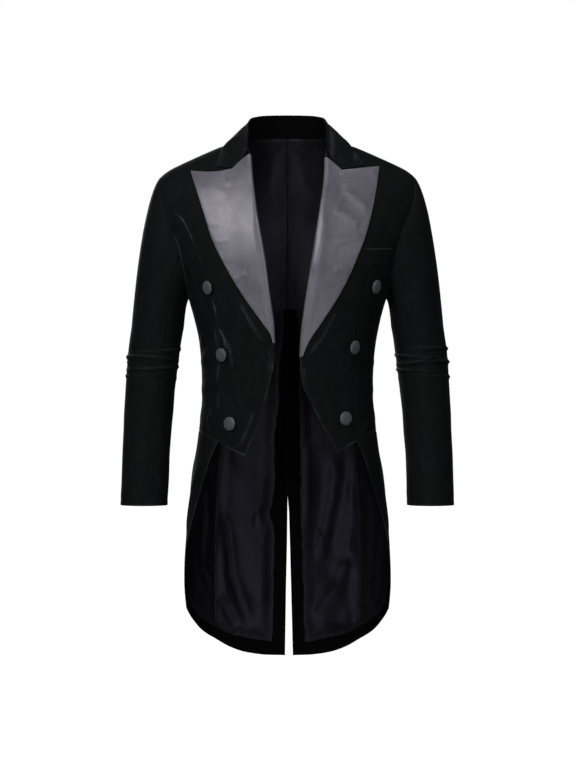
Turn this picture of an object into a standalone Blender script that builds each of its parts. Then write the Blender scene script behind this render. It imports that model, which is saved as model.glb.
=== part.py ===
# White tie tailcoat, hollow, in the shape it keeps when worn: cutaway front, two tails behind.
# Metres, +Z up. The front of the coat faces -Y, so the wearer's left is +X.
# The origin lies at shoulder level, midway between the sleeves and midway through the shoulders.
import bmesh
import bpy
import numpy as np
from mathutils import Vector

MM = 0.001

# Cloth, in millimetres
SHELL_WALL = 2.0
SATIN_WALL = 1.6
LINING_WALL = 0.9
SEAM_GAP = 0.3
LINING_CLEARANCE = 0.7
OVERLAY_CLEARANCE = 0.9

# Points along each shared seam
SHOULDER_POINTS = 7
BODY_SEAM_POINTS = 15
SKIRT_SEAM_POINTS = 11
ARMHOLE_TOP_POINTS = 5
ARMHOLE_FRONT_POINTS = 7
ARMHOLE_BACK_POINTS = 6
NECK_POINTS = 4
ROLL_POINTS = 12
LAPEL_POINTS = 15
GORGE_POINTS = 4
PEAK_POINTS = 6

# Body form, in millimetres
SQUARENESS = 2.4
FRONT_DROP = 285.0
BACK_DROP = 232.0
BODY_MIDDLE = -330.0

# Height, half width, depth in front, depth behind
TORSO = [
    (90, 300, 116, 110),
    (-60, 300, 124, 115),
    (-108, 280, 127, 117),
    (-136, 263, 128, 118),
    (-177, 239, 130, 118),
    (-218, 219, 130, 116),
    (-258, 200, 130, 112),
    (-292, 188, 129, 108),
    (-333, 176.5, 127, 103),
    (-378, 167.5, 122, 97),
    (-424, 163, 117, 93),
    (-470, 162, 113, 91),
    (-506, 164.5, 111, 91),
    (-560, 171, 109, 94),
    (-629, 181.5, 106, 99),
    (-697, 189, 102, 104),
    (-789, 195.5, 98, 110),
    (-880, 198, 95, 114),
    (-990, 199, 94, 116),
]

# Half width, height of the shoulder line
SHOULDER_LINE = [
    (0, 69),
    (28, 61),
    (52, 39),
    (67, 20.7),
    (74, 14.7),
    (88, 7),
    (112, -0.5),
    (124, -3),
    (136, -7.5),
    (150, -13.5),
    (176, -25),
    (200, -36),
    (224, -48),
    (240, -60),
    (264, -82),
]

# Seams and edges: half width, height
BACK_NECK = [(0, 18), (28, 17.5), (52, 15.5), (67, 14), (74, 14.7)]
ARMHOLE_FRONT_TOP = [(240, -60), (241.5, -84), (238, -108), (228.5, -136)]
ARMHOLE_FRONT_LOW = [(228.5, -136), (212, -177), (200.5, -218), (193, -258), (188, -292)]
ARMHOLE_BACK_TOP = [(240, -60), (240.5, -84), (238, -108), (231, -143), (222, -176)]
ARMHOLE_BACK_LOW = [(222, -176), (207, -216), (196, -256), (188, -292)]
PRINCESS = [
    (228.5, -136),
    (204.5, -141),
    (192, -157),
    (180.5, -182),
    (166.5, -214),
    (155.5, -244),
    (148, -264),
    (142, -292),
    (136, -320),
    (128, -380),
    (125, -445),
    (125.5, -500),
    (130, -562),
]
BACK_SEAM = [(222, -176), (200, -205), (176, -250), (152, -310), (132, -380), (124, -450),
             (124, -510), (131, -574)]
SKIRT_SEAM = [(131, -574), (136, -640), (141, -720), (142, -820), (141.5, -922.5)]

# Roll line and front edge of each side, from the neck down to the point: half width, height
ROLL_RIGHT = [(73, 15.4), (71.5, -3), (70.6, -24.6), (66.6, -69.5), (58.4, -133.6), (43.8, -217.5),
              (34.4, -288), (26.8, -341.6), (24.5, -378)]
EDGE_RIGHT = [(24.5, -378), (23.5, -400), (26.5, -425), (33, -452), (42.5, -487), (56, -530), (79, -588)]
ROLL_LEFT = [(73, 15.4), (72, -5), (71.4, -31), (70.6, -60.9), (63, -121), (52.8, -184.1),
             (42.2, -250.7), (33.2, -308.7), (26.5, -362.3), (23.8, -404)]
EDGE_LEFT = [(23.8, -404), (25.5, -437.4), (30.6, -463), (44, -489), (62, -525), (94.5, -583)]
HEM_RIGHT = [(79, -588), (104, -577), (130, -562)]
HEM_LEFT = [(94.5, -583), (112, -571), (130, -562)]

# Outer edge of each lapel, from the peak down to its foot
LAPEL_RIGHT = [(181.8, -53.6), (173.5, -80), (156.7, -131.8), (137, -191.2), (111.3, -241.6),
               (78.2, -296), (45.5, -341.6), (30, -364.8), (26.8, -378)]
LAPEL_LEFT = [(172.2, -45.3), (165.6, -88.8), (157, -131.5), (144.3, -178.2), (129.1, -216.4),
              (111.5, -258.4), (89.1, -300.1), (64.6, -337.5), (39.2, -376), (27, -404)]
GORGE_RIGHT = [(70.3, -23.5), (86, -35.3), (104, -51.7)]
GORGE_LEFT = [(71.3, -30), (86, -41), (101.5, -54)]
PEAK_RIGHT = [(104, -51.7), (136.4, -56.7), (160, -56), (181.8, -53.6)]
PEAK_LEFT = [(101.5, -54), (136.4, -49.8), (160, -46.5), (172.2, -45.3)]

# Waist seam round the side: angle from the centre front, height
WAIST_SEAM = [(54, -554), (63, -547), (75, -543), (90, -543), (110, -553)]
# Cut edge of the skirt from the waist back to the corner: angle from the centre front, height
SKIRT_EDGE = [(51.5, -590), (57, -634), (63, -672), (70, -709), (79, -750), (88, -790), (95.5, -838),
              (103.5, -883)]
# Rounded hem of a tail: half width, height
HEM_CORNER = [(192.5, -883), (181.5, -907.4), (161, -932), (141, -945.5)]
HEM_TAIL = [(141, -945.5), (116, -961), (94, -970.5), (54, -978.8), (6, -981)]
# Centre back and vent edge: half width, height
VENT_RIGHT = [(0, 18), (0, -668), (1, -760), (3, -850), (5, -981)]
VENT_LEFT = [(0, 18), (0, -668), (3, -700), (5, -770), (7, -845), (10.5, -981)]

# Sleeve sections: height, centre x, centre y, half width, half depth
SLEEVE = [
    (-345, 246.5, 3, 49.8, 62),
    (-370, 250.5, 1, 49, 60),
    (-401, 254.5, -1, 48.6, 58),
    (-446, 258.5, -5, 47.3, 55.5),
    (-492, 262, -10, 46.3, 53),
    (-560, 266.5, -19, 45.5, 50),
    (-629, 269, -29, 45, 48),
    (-682, 270, -37, 44.5, 47),
]
# Creases round the elbow: height, strength, half height, angle of the middle, tilt in millimetres
ELBOW_LEFT = [(-389, 2.6, 4.6, 20, 3), (-402, 3.0, 4.6, 150, -4), (-415, 3.4, 5.2, 60, 4),
              (-429, 3.0, 5, 200, -3), (-442, 2.2, 5, 320, 2)]
ELBOW_RIGHT = [(-391, 2.4, 5.4, 160, -4), (-407, 3.2, 5.6, 40, 5), (-424, 3.6, 5.8, 120, -3),
               (-441, 2.6, 5, 300, 3)]
# Side that the creases tilt towards, in degrees, and height over which the tilt fades out
ELBOW_LEAN = 40.0
ELBOW_FADE = 20.0

# Collar from the centre back to the front end. Seam: half width, path from the shoulder seam.
# Fold: x, y, z. Leaf edge: half width, path. Paths run back when positive and forward when negative.
COLLAR = [
    (0, 157, 0, 67, 63.5, 0, 187),
    (28, 144.6, 26.5, 63, 62.8, 32, 172),
    (52, 105, 51, 50, 60, 62, 124),
    (67, 55.7, 66.5, 32, 52.5, 86, 74),
    (74, 0, 71.6, 10, 43.5, 105, 28),
    (73.6, -40, 72.3, -12, 28.5, 116, -30),
    (72.8, -90, 72.6, -37, 11.5, 126, -86),
    (70.8, -146, 72.2, -62.5, -13, 134, -143),
]
COLLAR_WALL = 1.8
COLLAR_BEND = 2.7
COLLAR_REST = 3.3
COLLAR_BULGE = 4.0
# Front end of each leaf: half width, height, at a third, at two thirds and at the corner
COLLAR_END_RIGHT = [(87, -34), (105, -48.4), (133, -46.5)]
COLLAR_END_LEFT = [(87, -39.5), (102.5, -50.7), (140, -43)]
COLLAR_POINTS = 25

# Cross-section of the lapel at the roll line: past the line and rise, of its face and of its back
LAPEL_WRAP = [(2.1, -2.4, 0.55, -2.4), (1.9, 0.9, 0.55, 0.3), (0.2, 2.9, -0.6, 1.3)]
LAPEL_ROLL = 1.6
LAPEL_ROLL_REACH = 0.3
# Rise of the left lapel over the end of the pocket welt: height, half its length
WELT_BUMP = 2.2
WELT_MIDDLE = -215.0
WELT_SPREAD = 34.0

# Sleeve set-in, and the columns where the under sleeve starts and ends
SLEEVE_OFF = 0.45
ARMPIT_OFF = 1.2
ARMPIT_REACH = 92.0
CAP_STEPS = [0.0, 0.08, 0.18, 0.3, 0.45, 0.62, 0.8]
CAP_OUT = 0.3
CAP_FORWARD = 0.18
CAP_FALL = 0.235
CAP_FLARE = 0.08
UPPER_RINGS = [-345.0, -364.0]
LOWER_RINGS = [-490.0, -550.0, -615.0, -682.0]
CREASE_REACH = 9.0
UNDER_START = 7
UNDER_END = 13

# Welt of the breast pocket: half width, height
WELT_WALL = 1.6
WELT_TOP = [(124, -203), (197, -199.6)]
WELT_BOTTOM = [(122, -229.5), (182.5, -229.3)]

# Buttons: half width, height, lean about the upright line in degrees
BUTTON_RADIUS = 13.0
BUTTON_RISE = 6.0
BUTTON_SEAT = 0.4
BUTTON_PROP = 0.66
BUTTON_SIDES = 14
# Outline from the top to the underside: share of the radius, share of the rise
BUTTON_PROFILE = [(0, 1.0), (0.3, 0.99), (0.62, 0.92), (0.9, 0.72), (1.0, 0.42), (0.98, 0.22), (0.82, 0),
                  (0, 0)]
BUTTONS = [
    ("button_top_right", -1, 145.5, -274, 18),
    ("button_mid_right", -1, 121.3, -399.4, 9),
    ("button_low_right", -1, 105.8, -528, 12),
    ("button_top_left", 1, 163, -271.8, 12),
    ("button_mid_left", 1, 122.4, -385.4, 15),
    ("button_low_left", 1, 107.4, -518.4, 6),
]

# Lining: the upper back ends at a free foot, and the tail lining starts above it, behind it
FOOT_HANG = 2.2
FOOT_SHARE = 1 / 3
FOOT_ROW = 10
# Edge beside the velvet facing of the centre back and vent: half width, height
FACING_RIGHT = [(7, 18), (7, -313), (8, -345), (12.6, -395), (16.5, -440), (17, -500), (23, -535),
                (25, -600), (25, -720), (27, -850), (30, -955)]
FACING_LEFT = [(16.5, 18), (16.5, -313), (21, -336), (22.5, -360), (22.5, -440), (24.5, -560),
               (26, -700), (30, -820), (34, -957)]
LINING_HEM = [(77, -947), (115.5, -937), (141.5, -922.5)]
SKIRT_LINING_EDGE = [(54, -554), (58, -600), (63.5, -640), (70, -680), (77, -722), (87, -768),
                     (95, -810), (103, -848), (112.5, -884)]
SKIRT_LINING_HEM = [(172, -901), (157, -913), (141.5, -922.5)]
# Folds of the tail linings: start and end half width and height, half breadth, rise
FOLDS_RIGHT = [
    (134, -660, 84, -935, 15, 5.0),
    (96, -600, 60, -860, 16, 2.5),
]
FOLDS_LEFT = [
    (66, -560, 38, -850, 15, 4.5),
    (108, -585, 74, -830, 16, 4.0),
    (132, -780, 84, -930, 16, 3.0),
]

# Colour and roughness
CLOTHS = {
    "velvet": ((0.012, 0.012, 0.014, 1.0), 0.85),
    "satin": ((0.20, 0.20, 0.21, 1.0), 0.45),
    "lining": ((0.015, 0.015, 0.025, 1.0), 0.5),
    "button": ((0.06, 0.06, 0.065, 1.0), 0.5),
}


def column(table, index):
    return np.array([row[index] for row in table], dtype=float)


def bend_between(t, first, second, step, first_slope, second_slope):
    """Smooth curve from one value to the next, leaving and arriving at given slopes."""
    return ((2 * t**3 - 3 * t**2 + 1) * first + (t**3 - 2 * t**2 + t) * step * first_slope
            + (3 * t**2 - 2 * t**3) * second + (t**3 - t**2) * step * second_slope)


def smooth_value(places, values, wanted):
    """Value read off a smooth line through the table, with no overshoot."""
    places = np.asarray(places, dtype=float)
    values = np.asarray(values, dtype=float)
    steps = np.diff(places)
    slopes = np.diff(values) / steps
    tangents = np.zeros(len(places))
    tangents[0] = slopes[0]
    tangents[-1] = slopes[-1]
    for k in range(1, len(places) - 1):
        if slopes[k - 1] * slopes[k] > 0:
            tangents[k] = 2 * slopes[k - 1] * slopes[k] / (slopes[k - 1] + slopes[k])
    wanted = np.clip(np.asarray(wanted, dtype=float), places[0], places[-1])
    cell = np.clip(np.searchsorted(places, wanted) - 1, 0, len(steps) - 1)
    t = (wanted - places[cell]) / steps[cell]
    return bend_between(t, values[cell], values[cell + 1], steps[cell], tangents[cell], tangents[cell + 1])


def torso_at(z):
    """Half width, depth in front and depth behind at a height."""
    heights = column(TORSO, 0)[::-1]
    return [smooth_value(heights, column(TORSO, k)[::-1], z) for k in (1, 2, 3)]


def shoulder_at(x):
    return smooth_value(column(SHOULDER_LINE, 0), column(SHOULDER_LINE, 1), x)


def trace(points, count):
    """Points evenly spaced along a smooth line through a few given ones."""
    points = np.asarray(points, dtype=float)
    if len(points) == 2:
        return points[0] + (points[1] - points[0]) * np.linspace(0, 1, count)[:, None]
    chord = np.concatenate([[0], np.cumsum(np.linalg.norm(np.diff(points, axis=0), axis=1))])
    slopes = np.gradient(points, chord, axis=0)
    fine = np.linspace(0, chord[-1], 400)
    cell = np.clip(np.searchsorted(chord, fine) - 1, 0, len(chord) - 2)
    step = (chord[cell + 1] - chord[cell])[:, None]
    t = ((fine - chord[cell])[:, None]) / step
    line = bend_between(t, points[cell], points[cell + 1], step, slopes[cell], slopes[cell + 1])
    along = np.concatenate([[0], np.cumsum(np.linalg.norm(np.diff(line, axis=0), axis=1))])
    wanted = np.linspace(0, along[-1], count)
    return np.stack([np.interp(wanted, along, line[:, k]) for k in range(line.shape[1])], axis=1)


def chain(*lines):
    """Lines that share their end points, joined into one."""
    return np.concatenate([lines[0]] + [line[1:] for line in lines[1:]])


def path_from_height(line, side):
    """Half width and height turned into half width and distance down from the shoulder line."""
    x = line[:, 0]
    fall = np.maximum(shoulder_at(x) - line[:, 1], 0)
    drop = FRONT_DROP if side < 0 else BACK_DROP
    curved = drop * np.arccos(np.clip(1 - fall / drop, 0, 1))
    straight = drop * np.pi / 2 + fall - drop
    return np.stack([x, side * np.where(fall < drop, curved, straight)], axis=1)


def body_by_path(x, path):
    """Place on the body for a half width and a signed distance from the shoulder line."""
    signed = x
    x = np.abs(x)
    drop = np.where(path < 0, FRONT_DROP, BACK_DROP)
    length = np.abs(path)
    bend = length / drop
    curved = bend < np.pi / 2
    fall = np.where(curved, drop * (1 - np.cos(bend)), length - drop * np.pi / 2 + drop)
    swell = np.where(curved, np.sin(bend), 1.0)
    z = shoulder_at(x) - fall
    half, front, back = torso_at(z)
    ratio = np.clip(x / half, 0, 0.9999)
    depth = (1 - ratio**SQUARENESS) ** (1 / SQUARENESS)
    y = np.where(path < 0, -front, back) * swell * depth
    return np.stack([signed, y, z], axis=-1)


def body_by_angle(angle, z):
    """Place on the body for an angle in degrees from the centre front and a height."""
    turn = np.radians(angle)
    half, front, back = torso_at(z)
    x = half * np.abs(np.sin(turn)) ** (2 / SQUARENESS)
    fall = np.maximum(shoulder_at(x) - z, 0)
    ahead = np.cos(turn) > 0
    drop = np.where(ahead, FRONT_DROP, BACK_DROP)
    swell = np.sqrt(1 - (1 - np.clip(fall / drop, 0, 1)) ** 2)
    depth = np.abs(np.cos(turn)) ** (2 / SQUARENESS)
    y = np.where(ahead, -front, back) * swell * depth
    return np.stack([x, y, z + 0 * y], axis=-1)


def angle_from_width(line, side):
    """Half width and height turned into angle and height; side is -1 in front, 1 behind."""
    half = torso_at(line[:, 1])[0]
    turn = np.degrees(np.arcsin(np.clip(line[:, 0] / half, 0, 1) ** (SQUARENESS / 2)))
    return np.stack([turn if side < 0 else 180 - turn, line[:, 1]], axis=1)


def normals_of(surface, first, second):
    """Unit normals of the body, facing out."""
    step = 0.4
    along = surface(first + step, second) - surface(first - step, second)
    down = surface(first, second + step) - surface(first, second - step)
    normal = np.cross(along, down)
    normal /= np.linalg.norm(normal, axis=-1, keepdims=True)
    outward = surface(first, second)
    outward[..., 2] = (outward[..., 2] - BODY_MIDDLE) * 0.25
    return normal * np.where(np.sum(normal * outward, axis=-1, keepdims=True) < 0, -1, 1)


def fill(top, bottom, left, right):
    """Grid of values between four edge lines that share their corners."""
    across = np.linspace(0, 1, len(top))[None, :, None]
    down = np.linspace(0, 1, len(left))[:, None, None]
    sides = left[:, None] * (1 - across) + right[:, None] * across
    ends = top[None] * (1 - down) + bottom[None] * down
    corners = ((top[0] * (1 - across) + top[-1] * across) * (1 - down)
               + (bottom[0] * (1 - across) + bottom[-1] * across) * down)
    return sides + ends - corners


def draw_in(grid):
    """Moves the four edges of a grid of places inward by half a seam gap."""
    result = grid.copy()
    for edge, inner in ((0, 1), (-1, -2)):
        row = grid[inner] - grid[edge]
        result[edge] += row * SEAM_GAP / 2 / np.maximum(np.linalg.norm(row, axis=-1, keepdims=True), MM)
        row = grid[:, inner] - grid[:, edge]
        result[:, edge] += row * SEAM_GAP / 2 / np.maximum(np.linalg.norm(row, axis=-1, keepdims=True), MM)
    return result


def mirrored(grid, side):
    result = grid.copy()
    result[..., 0] *= side
    return result


def add_piece(name, places, edges, faces, cloth):
    """One named object from places in millimetres, with its own material."""
    mesh = bpy.data.meshes.new(name)
    mesh.from_pydata([tuple(p * MM for p in place) for place in places], edges, faces)
    shape = bmesh.new()
    shape.from_mesh(mesh)
    bmesh.ops.recalc_face_normals(shape, faces=shape.faces)
    shape.to_mesh(mesh)
    shape.free()
    item = bpy.data.objects.new(name, mesh)
    coat.objects.link(item)
    material = bpy.data.materials.new(name + "_" + cloth)
    material.use_nodes = True
    color, roughness = CLOTHS[cloth]
    shader = material.node_tree.nodes["Principled BSDF"]
    shader.inputs["Base Color"].default_value = color
    shader.inputs["Roughness"].default_value = roughness
    material.diffuse_color = color
    mesh.materials.append(material)
    return item


def wall_between(name, outer, inner, cloth):
    """Solid between an outer and an inner grid of places."""
    rows, columns = outer.shape[:2]
    shift = rows * columns
    last = shift - columns
    faces = []
    for i in range(rows - 1):
        for j in range(columns - 1):
            a = i * columns + j
            b, c, d = a + 1, a + columns + 1, a + columns
            faces += [(a, b, c), (a, c, d)]
            faces += [(shift + a, shift + c, shift + b), (shift + a, shift + d, shift + c)]
    for j in range(columns - 1):
        faces.append((j + 1, j, shift + j, shift + j + 1))
        faces.append((last + j, last + j + 1, shift + last + j + 1, shift + last + j))
    for i in range(rows - 1):
        a, d = i * columns, (i + 1) * columns
        e, f = a + columns - 1, d + columns - 1
        faces.append((a, d, shift + d, shift + a))
        faces.append((f, e, shift + e, shift + f))
    places = np.concatenate([outer.reshape(-1, 3), inner.reshape(-1, 3)])
    add_piece(name, places, [], faces, cloth)


def body_wall(name, side, surface, cells, cloth, wall, lift):
    """Wall on the body: its inner face stands off the body by the lift, its wall lies beyond that."""
    first, second = cells[..., 0], cells[..., 1]
    place = surface(first, second)
    normal = normals_of(surface, first, second)
    lift = (np.asarray(lift) + np.zeros(first.shape))[..., None]
    outer = draw_in(place + normal * (lift + wall))
    inner = draw_in(place + normal * lift)
    wall_between(name, mirrored(outer, side), mirrored(inner, side), cloth)


def shell_wall(name, side, surface, cells):
    body_wall(name, side, surface, cells, "velvet", SHELL_WALL, -SHELL_WALL)


def lining_wall(name, side, surface, cells, inward=0.0):
    lift = -(SHELL_WALL + LINING_CLEARANCE + LINING_WALL) - inward
    body_wall(name, side, surface, cells, "lining", LINING_WALL, lift)


def fold_rise(folds, x, z):
    """Rise of long soft folds at places given by half width and height."""
    rise = np.zeros_like(x)
    for x0, z0, x1, z1, breadth, height in folds:
        run = np.array([x1 - x0, z1 - z0])
        length = np.linalg.norm(run)
        run = run / length
        along = ((x - x0) * run[0] + (z - z0) * run[1]) / length
        off = (x - x0) * run[1] - (z - z0) * run[0]
        fade = np.clip(along * 4, 0, 1) * np.clip((1 - along) * 4, 0, 1)
        rise += height * np.exp(-((off / breadth) ** 2)) * fade
    return rise


def shared_seams():
    """Seam lines sampled once, so that both pieces at a seam follow the same points."""
    seams = {}
    neck_point, shoulder_tip = BACK_NECK[-1][0], ARMHOLE_FRONT_TOP[0][0]
    seams["shoulder"] = trace([(neck_point, 0), (shoulder_tip, 0)], SHOULDER_POINTS)
    seams["princess"] = trace(PRINCESS, BODY_SEAM_POINTS)
    seams["back"] = trace(BACK_SEAM, BODY_SEAM_POINTS)
    seams["skirt"] = trace(SKIRT_SEAM, SKIRT_SEAM_POINTS)
    seams["armhole_front"] = trace(ARMHOLE_FRONT_TOP, ARMHOLE_TOP_POINTS)
    seams["armhole_back"] = trace(ARMHOLE_BACK_TOP, ARMHOLE_TOP_POINTS)
    front_low = trace(angle_from_width(np.array(ARMHOLE_FRONT_LOW, float), -1), ARMHOLE_FRONT_POINTS)
    back_low = trace(angle_from_width(np.array(ARMHOLE_BACK_LOW, float), 1), ARMHOLE_BACK_POINTS)
    front_low[-1, 0] = back_low[-1, 0] = 90
    seams["armhole_low"] = chain(front_low, back_low[::-1])
    for key, behind in (("princess", -1), ("back", 1), ("skirt", 1)):
        seams[key + "_angles"] = angle_from_width(seams[key], behind)
    waist = WAIST_SEAM + [tuple(seams["back_angles"][-1])]
    rest = trace(waist, len(seams["armhole_low"]) - 1)
    seams["waist"] = np.concatenate([seams["princess_angles"][-1:], rest])
    return seams


def build_front(side, word, seams):
    """Forepart from the shoulder seam to the pointed waist, with the roll line as its inner edge."""
    outer = chain(seams["armhole_front"], seams["princess"])
    roll, edge, hem = (ROLL_RIGHT, EDGE_RIGHT, HEM_RIGHT) if side < 0 else (ROLL_LEFT, EDGE_LEFT, HEM_LEFT)
    inner = chain(trace(roll, ROLL_POINTS), trace(edge, len(outer) - ROLL_POINTS + 1))
    cells = fill(
        seams["shoulder"],
        path_from_height(trace(hem, SHOULDER_POINTS), -1),
        path_from_height(inner, -1),
        path_from_height(outer, -1),
    )
    shell_wall("front_" + word, side, body_by_path, cells)


def build_side(side, word, seams):
    """Side body from the armhole to the waist seam."""
    cells = fill(seams["armhole_low"], seams["waist"], seams["princess_angles"], seams["back_angles"])
    shell_wall("side_" + word, side, body_by_angle, cells)


def build_skirt(side, word, seams):
    """Skirt; its lining takes the same places but for the facing column and the hem row."""
    lining_corner = angle_from_width(np.array(SKIRT_LINING_HEM, float), 1)
    edge = trace(SKIRT_LINING_EDGE, SKIRT_SEAM_POINTS)
    hem = trace(np.concatenate([edge[-1:], lining_corner]), len(seams["waist"]) - 1)
    lining = fill(seams["waist"][1:], hem, edge, seams["skirt_angles"])
    lining_wall("skirt_lining_" + word, side, body_by_angle, lining)

    corner = angle_from_width(np.array(HEM_CORNER, float), 1)
    cut_edge = trace([tuple(seams["waist"][0])] + SKIRT_EDGE, SKIRT_SEAM_POINTS + 1)
    hem = trace(np.concatenate([cut_edge[-1:], corner[1:]]), len(seams["waist"]) + 1)[2:]
    cells = np.concatenate([cut_edge[:, None], np.concatenate([lining, hem[None]])], axis=1)
    shell_wall("skirt_" + word, side, body_by_angle, cells)


def build_back(side, word, seams):
    """Back and tail, with the upper lining and the tail lining on the same places."""
    facing, vent = (FACING_RIGHT, VENT_RIGHT) if side < 0 else (FACING_LEFT, VENT_LEFT)
    neck_x = np.linspace(facing[0][0], BACK_NECK[-1][0], NECK_POINTS)
    neck_z = smooth_value(column(BACK_NECK, 0), column(BACK_NECK, 1), neck_x)
    neck = path_from_height(np.stack([neck_x, neck_z], axis=1), 1)
    neck[-1] = seams["shoulder"][0]
    outer = chain(seams["armhole_back"], seams["back"], seams["skirt"])
    upper = trace([(facing[0][0], neck_z[0]), facing[1]], FOOT_ROW + 1)
    inner = chain(upper, trace(facing[1:], len(outer) - FOOT_ROW))
    top = chain(neck, seams["shoulder"])
    lining_hem = trace([facing[-1]] + LINING_HEM, len(top))
    lined = fill(*[path_from_height(line, 1) if line is not top else line
                   for line in (top, lining_hem, inner, outer)])

    vent_x = np.interp(inner[:, 1], column(vent, 1)[::-1], column(vent, 0)[::-1])
    middle = path_from_height(np.stack([vent_x, inner[:, 1]], axis=1), 1)
    hem = path_from_height(trace([vent[-1]] + HEM_TAIL[-2::-1], len(top) + 1), 1)
    cells = np.concatenate([np.concatenate([middle[:, None], lined], axis=1), hem[None]])
    shell_wall("back_" + word, side, body_by_path, cells)

    share = np.linspace(0, 1, FOOT_ROW + 1)[:, None]
    hang = FOOT_HANG * np.clip((share - 1 + FOOT_SHARE) / FOOT_SHARE, 0, 1)
    lining_wall("back_lining_" + word, side, body_by_path, cells[:FOOT_ROW + 1], hang)
    tail = lined[FOOT_ROW - 1:]
    place = body_by_path(tail[..., 0], tail[..., 1])
    rise = fold_rise(FOLDS_RIGHT if side < 0 else FOLDS_LEFT, place[..., 0], place[..., 2])
    lining_wall("tail_lining_" + word, side, body_by_path, tail, rise)


def build_lapel(side, word):
    """Lapel lying on the forepart; its inner edge wraps round the roll line."""
    outside, gorge, peak, roll = ((LAPEL_RIGHT, GORGE_RIGHT, PEAK_RIGHT, ROLL_RIGHT) if side < 0
                                  else (LAPEL_LEFT, GORGE_LEFT, PEAK_LEFT, ROLL_LEFT))
    roll = [gorge[0]] + [place for place in roll if place[1] < gorge[0][1] - 2]
    top = chain(trace(gorge, GORGE_POINTS), trace(peak, PEAK_POINTS))
    foot = trace([roll[-1], outside[-1]], len(top))
    cells = fill(*[path_from_height(line, -1) for line in
                   (top, foot, trace(roll, LAPEL_POINTS), trace(outside, LAPEL_POINTS))])
    place = body_by_path(cells[..., 0], cells[..., 1])
    normal = normals_of(body_by_path, cells[..., 0], cells[..., 1])
    share = np.linspace(0, 1, cells.shape[1])[None, :]
    lift = OVERLAY_CLEARANCE + LAPEL_ROLL * np.exp(-((share / LAPEL_ROLL_REACH) ** 2))
    if side > 0:
        lift = lift + WELT_BUMP * np.exp(-(((place[..., 2] - WELT_MIDDLE) / WELT_SPREAD) ** 4))
    lift = (lift + np.zeros(place.shape[:2]))[..., None]
    past = np.cross(normal[:, 0], np.gradient(place[:, 0], axis=0))
    past /= -np.sign(past[:, :1]) * np.linalg.norm(past, axis=1, keepdims=True)
    face = [place[:, 0] + past * row[0] + normal[:, 0] * row[1] for row in LAPEL_WRAP]
    back = [place[:, 0] + past * row[2] + normal[:, 0] * row[3] for row in LAPEL_WRAP]
    face = np.concatenate([np.stack(face, axis=1), (place + normal * (lift + SATIN_WALL))[:, 1:]], axis=1)
    back = np.concatenate([np.stack(back, axis=1), (place + normal * lift)[:, 1:]], axis=1)
    wall_between("lapel_" + word, mirrored(face, side), mirrored(back, side), "satin")


def armhole_loop(seams):
    """Places and normals round the armhole, from the shoulder tip down the front and up the back."""
    front = path_from_height(seams["armhole_front"], -1)
    back = path_from_height(seams["armhole_back"], 1)
    low = seams["armhole_low"]
    place = [body_by_path(*front.T)[:-1], body_by_angle(*low.T)[:-1], body_by_path(*back.T)[:0:-1]]
    normal = [normals_of(body_by_path, *front.T)[:-1], normals_of(body_by_angle, *low.T)[:-1],
              normals_of(body_by_path, *back.T)[:0:-1]]
    return np.concatenate(place), np.concatenate(normal)


def ring_normals(grid):
    """Unit normals of rings whose last place meets the first, facing away from their middle."""
    across = np.roll(grid, -1, axis=1) - np.roll(grid, 1, axis=1)
    normal = np.cross(across, np.gradient(grid, axis=0))
    normal /= np.linalg.norm(normal, axis=-1, keepdims=True)
    return normal * np.sign(np.sum(normal * (grid - grid.mean(axis=1, keepdims=True))))


def sleeve_heights(creases):
    """Heights of the sleeve rings, with one on each elbow crease and one between."""
    peaks = [row[0] for row in creases]
    dips = [(a + b) / 2 for a, b in zip(peaks, peaks[1:])]
    ends = [peaks[0] + CREASE_REACH, peaks[-1] - CREASE_REACH]
    return UPPER_RINGS + sorted(peaks + dips + ends, reverse=True) + LOWER_RINGS


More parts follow.
